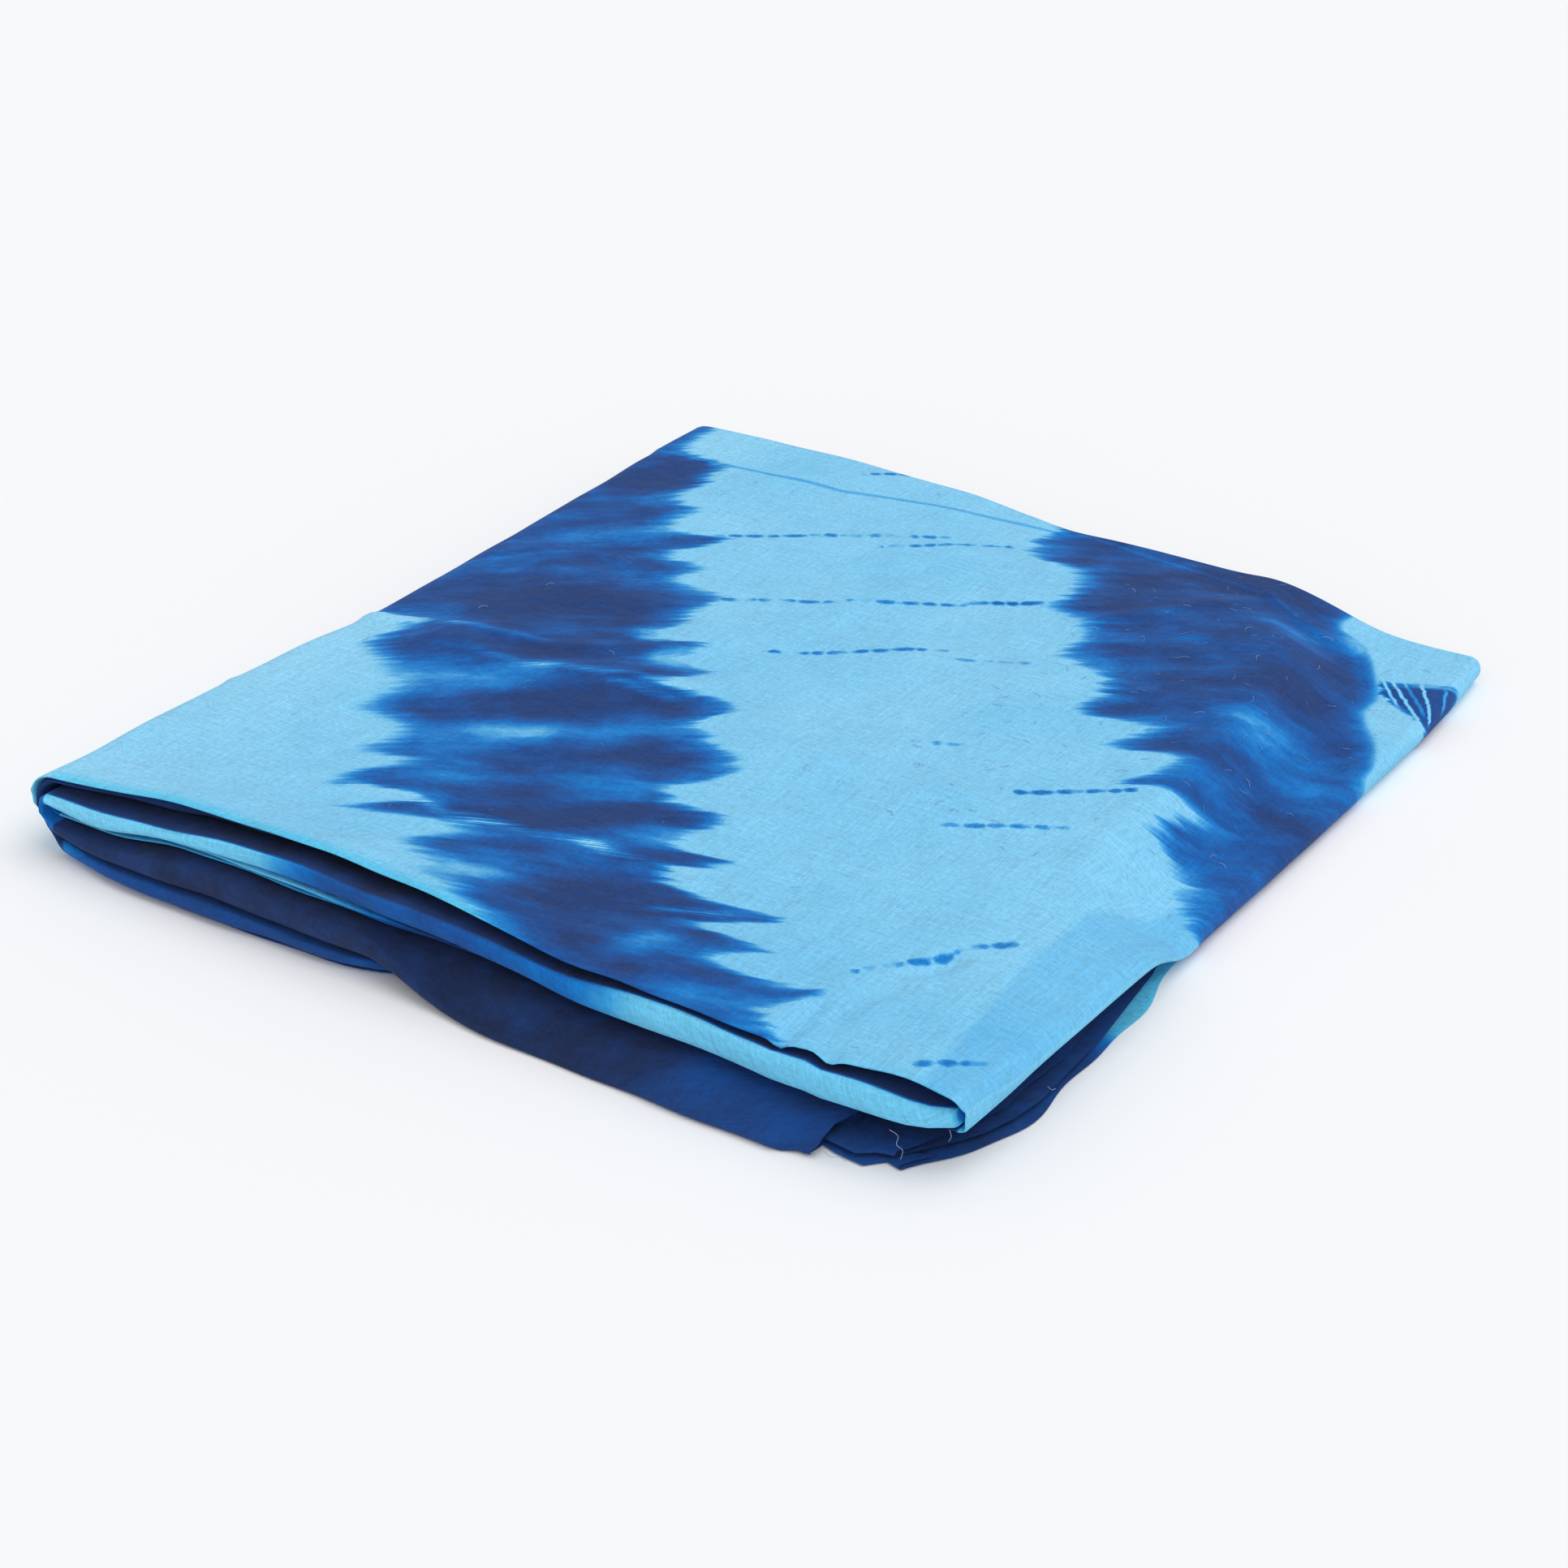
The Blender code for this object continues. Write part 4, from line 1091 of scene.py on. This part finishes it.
# Group: the plain weave, with threads a little thicker here and there
weave_tree, weave_in, weave_out = new_group(
    "Plain weave",
    (("Place", VECTOR),),
    (("Height", FLOAT), ("Shade", FLOAT)),
)
THREAD_PITCH = 0.55
CROSSING_HEIGHT = 0.25
SLUB_HEIGHT = 0.8
SLUB_STRETCH = (1.6, 0.05)
SLUB_SHADE = 0.5
GRAIN_SHADE = 0.8
separate = add_node(weave_tree, "ShaderNodeSeparateXYZ", {0: weave_in.outputs["Place"]})
turn = 2 * math.pi / THREAD_PITCH
warp = calc(weave_tree, "SINE", calc(weave_tree, "MULTIPLY", separate.outputs["X"], turn))
weft = calc(weave_tree, "SINE", calc(weave_tree, "MULTIPLY", separate.outputs["Y"], turn))
crossing = calc(weave_tree, "MULTIPLY", warp, weft)
slub_warp, slub_weft = (
    noise_node(weave_tree, weave_in.outputs["Place"], 1.0, 2.0, 0.6, (*stretched, 1.0))
    for stretched in (SLUB_STRETCH, reversed(SLUB_STRETCH))
)
slubs = calc(weave_tree, "ADD", slub_warp, slub_weft)
height = calc(weave_tree, "MULTIPLY", crossing, CROSSING_HEIGHT)
height = calc(weave_tree, "MULTIPLY_ADD", slubs, SLUB_HEIGHT, height)
weave_tree.links.new(height, weave_out.inputs["Height"])
grain = noise_node(weave_tree, weave_in.outputs["Place"], 0.55, 3.0, 0.8)
shade = calc(weave_tree, "MULTIPLY_ADD", slubs, SLUB_SHADE, -SLUB_SHADE)
shade = calc(weave_tree, "ADD", shade, swinging(weave_tree, grain, GRAIN_SHADE))
weave_tree.links.new(shade, weave_out.inputs["Shade"])

# Material: the dyed cotton
EDGE_MOTTLE = 0.5
EDGE_MOTTLE_STARTS = (0.1, 0.5)
WEAVE_DYE = 0.05
SHADE_TINT_COLOUR = (0.42, 0.92, 0.97, 1.0)
SHADE_TINT_FADES = (0.25, 0.70)
SHADE_TINT_ON_NAVY = 0.5
WEAVE_BUMP = {"Strength": 0.6, "Distance": 0.00025}
WRINKLE_BUMP = {"Strength": 0.8, "Distance": 0.005}
COTTON_LOOK = {"Roughness": 0.88, "Specular IOR Level": 0.22, "Sheen Weight": 0.05,
               "Sheen Roughness": 0.5}
cotton = bpy.data.materials.new("Dyed cotton")
cotton.use_nodes = True
tree = cotton.node_tree
shader = tree.nodes["Principled BSDF"]
unfolded = add_node(tree, "ShaderNodeUVMap", {}, uv_map="Unfolded")
to_mm = add_node(tree, "ShaderNodeVectorMath", {0: unfolded.outputs[0]}, operation="SCALE")
to_mm.inputs["Scale"].default_value = 1.0 / MM
place = to_mm.outputs[0]


def attribute_node(name):
    """Value of an attribute of the mesh."""
    return add_node(tree, "ShaderNodeAttribute", {}, attribute_name=name).outputs["Fac"]


bands = add_node(tree, "ShaderNodeGroup", {"Place": place, "Cloud": attribute_node("Cloud")},
                 node_tree=band_tree)
edge_noise = noise_node(tree, place, 0.06, 3.0, 0.6)
edge_noise = swinging(tree, edge_noise, EDGE_MOTTLE)
edge_value = attribute_node("Edge dye")
edge_swing = ease_node(tree, edge_value, *EDGE_MOTTLE_STARTS)
edge_value = calc(tree, "MULTIPLY_ADD", edge_noise, edge_swing, edge_value)
edge_share = attribute_node("Edge part")
difference = calc(tree, "SUBTRACT", edge_value, bands.outputs["Dye"])
strength = calc(tree, "MULTIPLY_ADD", difference, edge_share, bands.outputs["Dye"])
weave = add_node(tree, "ShaderNodeGroup", {"Place": place}, node_tree=weave_tree)
strength = calc(tree, "MULTIPLY_ADD", weave.outputs["Shade"], WEAVE_DYE, strength)
strength = calc(tree, "ADD", strength, attribute_node("Top tone change"))
strength = calc(tree, "MULTIPLY", strength, 1.0 / DYE_LIMIT, limit=True)
ramp = tree.nodes.new("ShaderNodeValToRGB")
ramp.color_ramp.interpolation = "LINEAR"
stops = ramp.color_ramp.elements
while len(stops) < len(DYE_COLOURS):
    stops.new(0.5)
for stop, (strength_at, _) in zip(stops, DYE_COLOURS):
    stop.position = strength_at
for stop, (_, code) in zip(stops, DYE_COLOURS):
    stop.color = colour(code)
tree.links.new(strength, ramp.inputs["Fac"])
# Painted shade: where the shade tint attribute is 1 the colour is multiplied by a greener, darker
# tint, half as much on navy
pale_share = ease_node(tree, strength, *SHADE_TINT_FADES, 1.0, SHADE_TINT_ON_NAVY)
shade_tint_share = calc(tree, "MULTIPLY", attribute_node("Painted shade tint"), pale_share)
shade_tinted = add_node(tree, "ShaderNodeMix",
                   {"Factor": shade_tint_share, "A": ramp.outputs["Color"], "B": SHADE_TINT_COLOUR},
                   data_type="RGBA", blend_type="MULTIPLY")
grain = calc(tree, "ADD", weave.outputs["Shade"], 1.0)
grained = add_node(tree, "ShaderNodeVectorMath", {0: shade_tinted.outputs["Result"], "Scale": grain},
                   operation="SCALE")
bump = add_node(tree, "ShaderNodeBump", {**WEAVE_BUMP, "Height": weave.outputs["Height"]})
wrinkles = noise_node(tree, place, 0.055, 3.0, 0.55, (0.8, 1.0, 1.0), shift=60.0)
soft_bump = add_node(tree, "ShaderNodeBump",
                     {**WRINKLE_BUMP, "Height": wrinkles, "Normal": bump.outputs["Normal"]})
set_inputs(tree, shader, {**COTTON_LOOK, "Base Color": grained.outputs[0],
                          "Normal": soft_bump.outputs["Normal"]})
cloth.data.materials.append(cotton)

# Lint
# Short curled fibres cling to the cloth, most of them on the navy on the right.
LINT_X = (30, 95)
LINT_Y = (-70, -40)
LINT_ELSEWHERE = 0.035
LINT_SIZES = {"Density": 5200.0, "Length": 0.0034, "Radius": 0.00009, "Seed": 5}
LINT_GROWTH = (0.45, 1.3)
LINT_TILT = 0.15
LINT_COLOURS = ("5F7FB8", "AFC6E6")
# One fibre, one unit long: its two ends, and the point between them that bends it
FIBRE = {"Resolution": 5, "Start": (-0.5, 0.0, 0.02), "Middle": (0.1, 0.35, 0.16),
         "End": (0.5, -0.05, 0.03)}
GEOMETRY = "NodeSocketGeometry"


def new_modifier(name, inputs):
    """An empty geometry tree with a mesh going in and out, and its two end nodes."""
    tree = bpy.data.node_groups.new(name, "GeometryNodeTree")
    tree.interface.new_socket(name="Mesh", in_out="INPUT", socket_type=GEOMETRY)
    for label, kind in inputs:
        tree.interface.new_socket(name=label, in_out="INPUT", socket_type=kind)
    tree.interface.new_socket(name="Mesh", in_out="OUTPUT", socket_type=GEOMETRY)
    return tree, tree.nodes.new("NodeGroupInput"), tree.nodes.new("NodeGroupOutput")


def finish_modifier(tree, entry, last, source):
    """Realize the instances, give them the material and send them out."""
    realize = add_node(tree, "GeometryNodeRealizeInstances", {"Geometry": source})
    paint = add_node(tree, "GeometryNodeSetMaterial",
                     {"Geometry": realize.outputs[0], "Material": entry.outputs["Material"]})
    tree.links.new(paint.outputs["Geometry"], last.inputs["Mesh"])


def tube(tree, curve, radius, sides):
    """A thread of the given radius along a curve."""
    ring = add_node(tree, "GeometryNodeCurvePrimitiveCircle", {"Resolution": sides, "Radius": radius})
    inputs = {"Curve": curve, "Profile Curve": ring.outputs["Curve"]}
    return add_node(tree, "GeometryNodeCurveToMesh", inputs)


def made_piece(name, base_mesh, tree, values):
    """A piece whose mesh the geometry tree makes from the base mesh."""
    piece = bpy.data.objects.new(name, base_mesh)
    bpy.context.scene.collection.objects.link(piece)
    modifier = piece.modifiers.new(name, "NODES")
    modifier.node_group = tree
    for item in tree.interface.items_tree:
        if item.item_type == "SOCKET" and item.in_out == "INPUT" and item.name in values:
            modifier[item.identifier] = values[item.name]
    bpy.context.view_layer.update()
    evaluated = piece.evaluated_get(bpy.context.evaluated_depsgraph_get())
    made = bpy.data.meshes.new_from_object(evaluated)
    piece.modifiers.remove(modifier)
    piece.data = made
    return piece


lint_tree, lint_in, lint_out = new_modifier(
    "Lint fibres",
    (("Density", FLOAT), ("Length", FLOAT), ("Radius", FLOAT), ("Seed", "NodeSocketInt"),
     ("Material", "NodeSocketMaterial")),
)
share = add_node(lint_tree, "GeometryNodeInputNamedAttribute", {"Name": "Lint share"},
                 data_type="FLOAT")
density = calc(lint_tree, "MULTIPLY", share.outputs["Attribute"], lint_in.outputs["Density"])
scatter = add_node(
    lint_tree, "GeometryNodeDistributePointsOnFaces",
    {"Mesh": lint_in.outputs["Mesh"], "Density": density, "Seed": lint_in.outputs["Seed"]},
)
curl = add_node(lint_tree, "GeometryNodeCurveQuadraticBezier", FIBRE)
sized = add_node(lint_tree, "GeometryNodeTransform",
                 {"Geometry": curl.outputs["Curve"], "Scale": lint_in.outputs["Length"]})
fibre = tube(lint_tree, sized.outputs["Geometry"], lint_in.outputs["Radius"], 3)
spin = add_node(lint_tree, "FunctionNodeRandomValue", {"Seed": lint_in.outputs["Seed"]},
                data_type="FLOAT_VECTOR")
spin.inputs["Max"].default_value = (LINT_TILT, LINT_TILT, 2 * math.pi)
turned_about = add_node(
    lint_tree, "FunctionNodeRotateRotation",
    {"Rotation": scatter.outputs["Rotation"], "Rotate By": spin.outputs["Value"]},
    rotation_space="LOCAL",
)
growth = add_node(lint_tree, "FunctionNodeRandomValue", {2: LINT_GROWTH[0], 3: LINT_GROWTH[1]},
                  data_type="FLOAT")
placed = add_node(
    lint_tree, "GeometryNodeInstanceOnPoints",
    {"Points": scatter.outputs["Points"], "Instance": fibre.outputs["Mesh"],
     "Rotation": turned_about.outputs["Rotation"], "Scale": growth.outputs[1]},
)
finish_modifier(lint_tree, lint_in, lint_out, placed.outputs["Instances"])

fluff = bpy.data.materials.new("Lint")
fluff.use_nodes = True
fluff_tree = fluff.node_tree
coordinates = add_node(fluff_tree, "ShaderNodeTexCoord", {})
fluff_noise = noise_node(fluff_tree, coordinates.outputs["Object"], 90.0, 2.0)
fluff_ramp = add_node(fluff_tree, "ShaderNodeValToRGB", {"Fac": fluff_noise})
for stop, code in zip(fluff_ramp.color_ramp.elements, LINT_COLOURS):
    stop.color = colour(code)
set_inputs(fluff_tree, fluff_tree.nodes["Principled BSDF"],
           {"Base Color": fluff_ramp.outputs["Color"], "Roughness": 0.9})

upper_rows = top_rows[::3]
upper_columns = first_layer[::3]
upper = grid[np.ix_(upper_rows, upper_columns)]
upper_quads = grid_quads(upper_rows.size, upper_columns.size)
lint_base = bpy.data.meshes.new("Lint base")
lint_base.from_pydata((upper.reshape(-1, 3) * MM).tolist(), [], upper_quads.tolist())
share_values = LINT_ELSEWHERE + ease(*LINT_X, upper[..., 0]) * ease(*LINT_Y, upper[..., 1])
lint_share = lint_base.attributes.new("Lint share", "FLOAT", "POINT")
lint_share.data.foreach_set("value", share_values.astype(np.float32).ravel())
lint = made_piece("lint", lint_base, lint_tree, {**LINT_SIZES, "Material": fluff})

# Stray threads
# A few ends of yarn hang from the raw edges by the front right corner.
THREAD_RADIUS = 0.00009
STRAY_THREADS = (
    ((166.4, -202.1, 13.0), (169.1, -201.6, 11.5), (169.7, -203.3, 9.5), (171.4, -202.5, 7.5),
     (172.2, -205.1, 6.0)),
    ((149.9, -212.8, 5.0), (152.0, -212.3, 3.5), (153.7, -210.4, 3.0), (155.9, -210.2, 2.0)),
    ((182.4, -193.5, 14.0), (182.9, -193.2, 11.5), (182.8, -194.5, 10.5)),
    ((191.3, -147.3, 7.0), (192.7, -146.8, 6.0), (193.2, -145.4, 6.0)),
)
thread_tree, thread_in, thread_out = new_modifier(
    "Stray threads", (("Radius", FLOAT), ("Material", "NodeSocketMaterial")),
)
drawn = add_node(thread_tree, "GeometryNodeMeshToCurve", {"Mesh": thread_in.outputs["Mesh"]})
smooth = add_node(thread_tree, "GeometryNodeCurveSplineType", {"Curve": drawn.outputs["Curve"]},
                  spline_type="CATMULL_ROM")
yarn = tube(thread_tree, smooth.outputs["Curve"], thread_in.outputs["Radius"], 5)
finish_modifier(thread_tree, thread_in, thread_out, yarn.outputs["Mesh"])
thread_points = [point for path in STRAY_THREADS for point in path]
thread_edges = []
first_point = 0
for path in STRAY_THREADS:
    thread_edges += [(first_point + step, first_point + step + 1) for step in range(len(path) - 1)]
    first_point += len(path)
thread_base = bpy.data.meshes.new("Thread base")
thread_places = [tuple(part * MM for part in point) for point in thread_points]
thread_base.from_pydata(thread_places, thread_edges, [])
threads = made_piece("stray_threads", thread_base, thread_tree,
                     {"Radius": THREAD_RADIUS, "Material": fluff})

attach(cloth, "root")
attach(lint, "root")
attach(threads, "root")
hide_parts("cloth")

# Floor and light
# A seamless white surface under large soft lights, a little stronger from above
# and behind, so that the front and right faces lie in soft shade.
FLOOR_SIZE = 12.0
PAPER_LOOK = {"Base Color": (0.958, 0.960, 0.968, 1.0), "Roughness": 0.9, "Specular IOR Level": 0.1}
LIGHT_COLUMNS = ("name", "energy", "angle", "heading")
LIGHTS = (
    ("Soft key", 1.15, 60, (-0.35, -0.25, -1.0)),
    ("Front fill", 0.9, 90, (-0.42, 0.72, -0.42)),
)
SKY = {"Color": (0.97, 0.98, 1.0, 1.0), "Strength": 0.53}
floor_mesh = bpy.data.meshes.new("Floor")
half = FLOOR_SIZE / 2
floor_mesh.from_pydata([(-half, -half, 0), (half, -half, 0), (half, half, 0), (-half, half, 0)],
                       [], [(0, 1, 2, 3)])
floor = bpy.data.objects.new("floor", floor_mesh)
bpy.context.scene.collection.objects.link(floor)
paper = bpy.data.materials.new("White paper")
paper.use_nodes = True
paper_shader = paper.node_tree.nodes["Principled BSDF"]
set_inputs(paper.node_tree, paper_shader, PAPER_LOOK)
floor.data.materials.append(paper)

for light in named_rows(LIGHT_COLUMNS, LIGHTS):
    sun_data = bpy.data.lights.new(light["name"], "SUN")
    sun_data.energy = light["energy"]
    sun_data.angle = math.radians(light["angle"])
    sun = bpy.data.objects.new(light["name"], sun_data)
    sun.rotation_euler = Vector(light["heading"]).to_track_quat("-Z", "Y").to_euler()
    bpy.context.scene.collection.objects.link(sun)
world = bpy.data.worlds.new("World")
world.use_nodes = True
set_inputs(world.node_tree, world.node_tree.nodes["Background"], SKY)
bpy.context.scene.world = world
bpy.context.scene.view_settings.view_transform = "Standard"
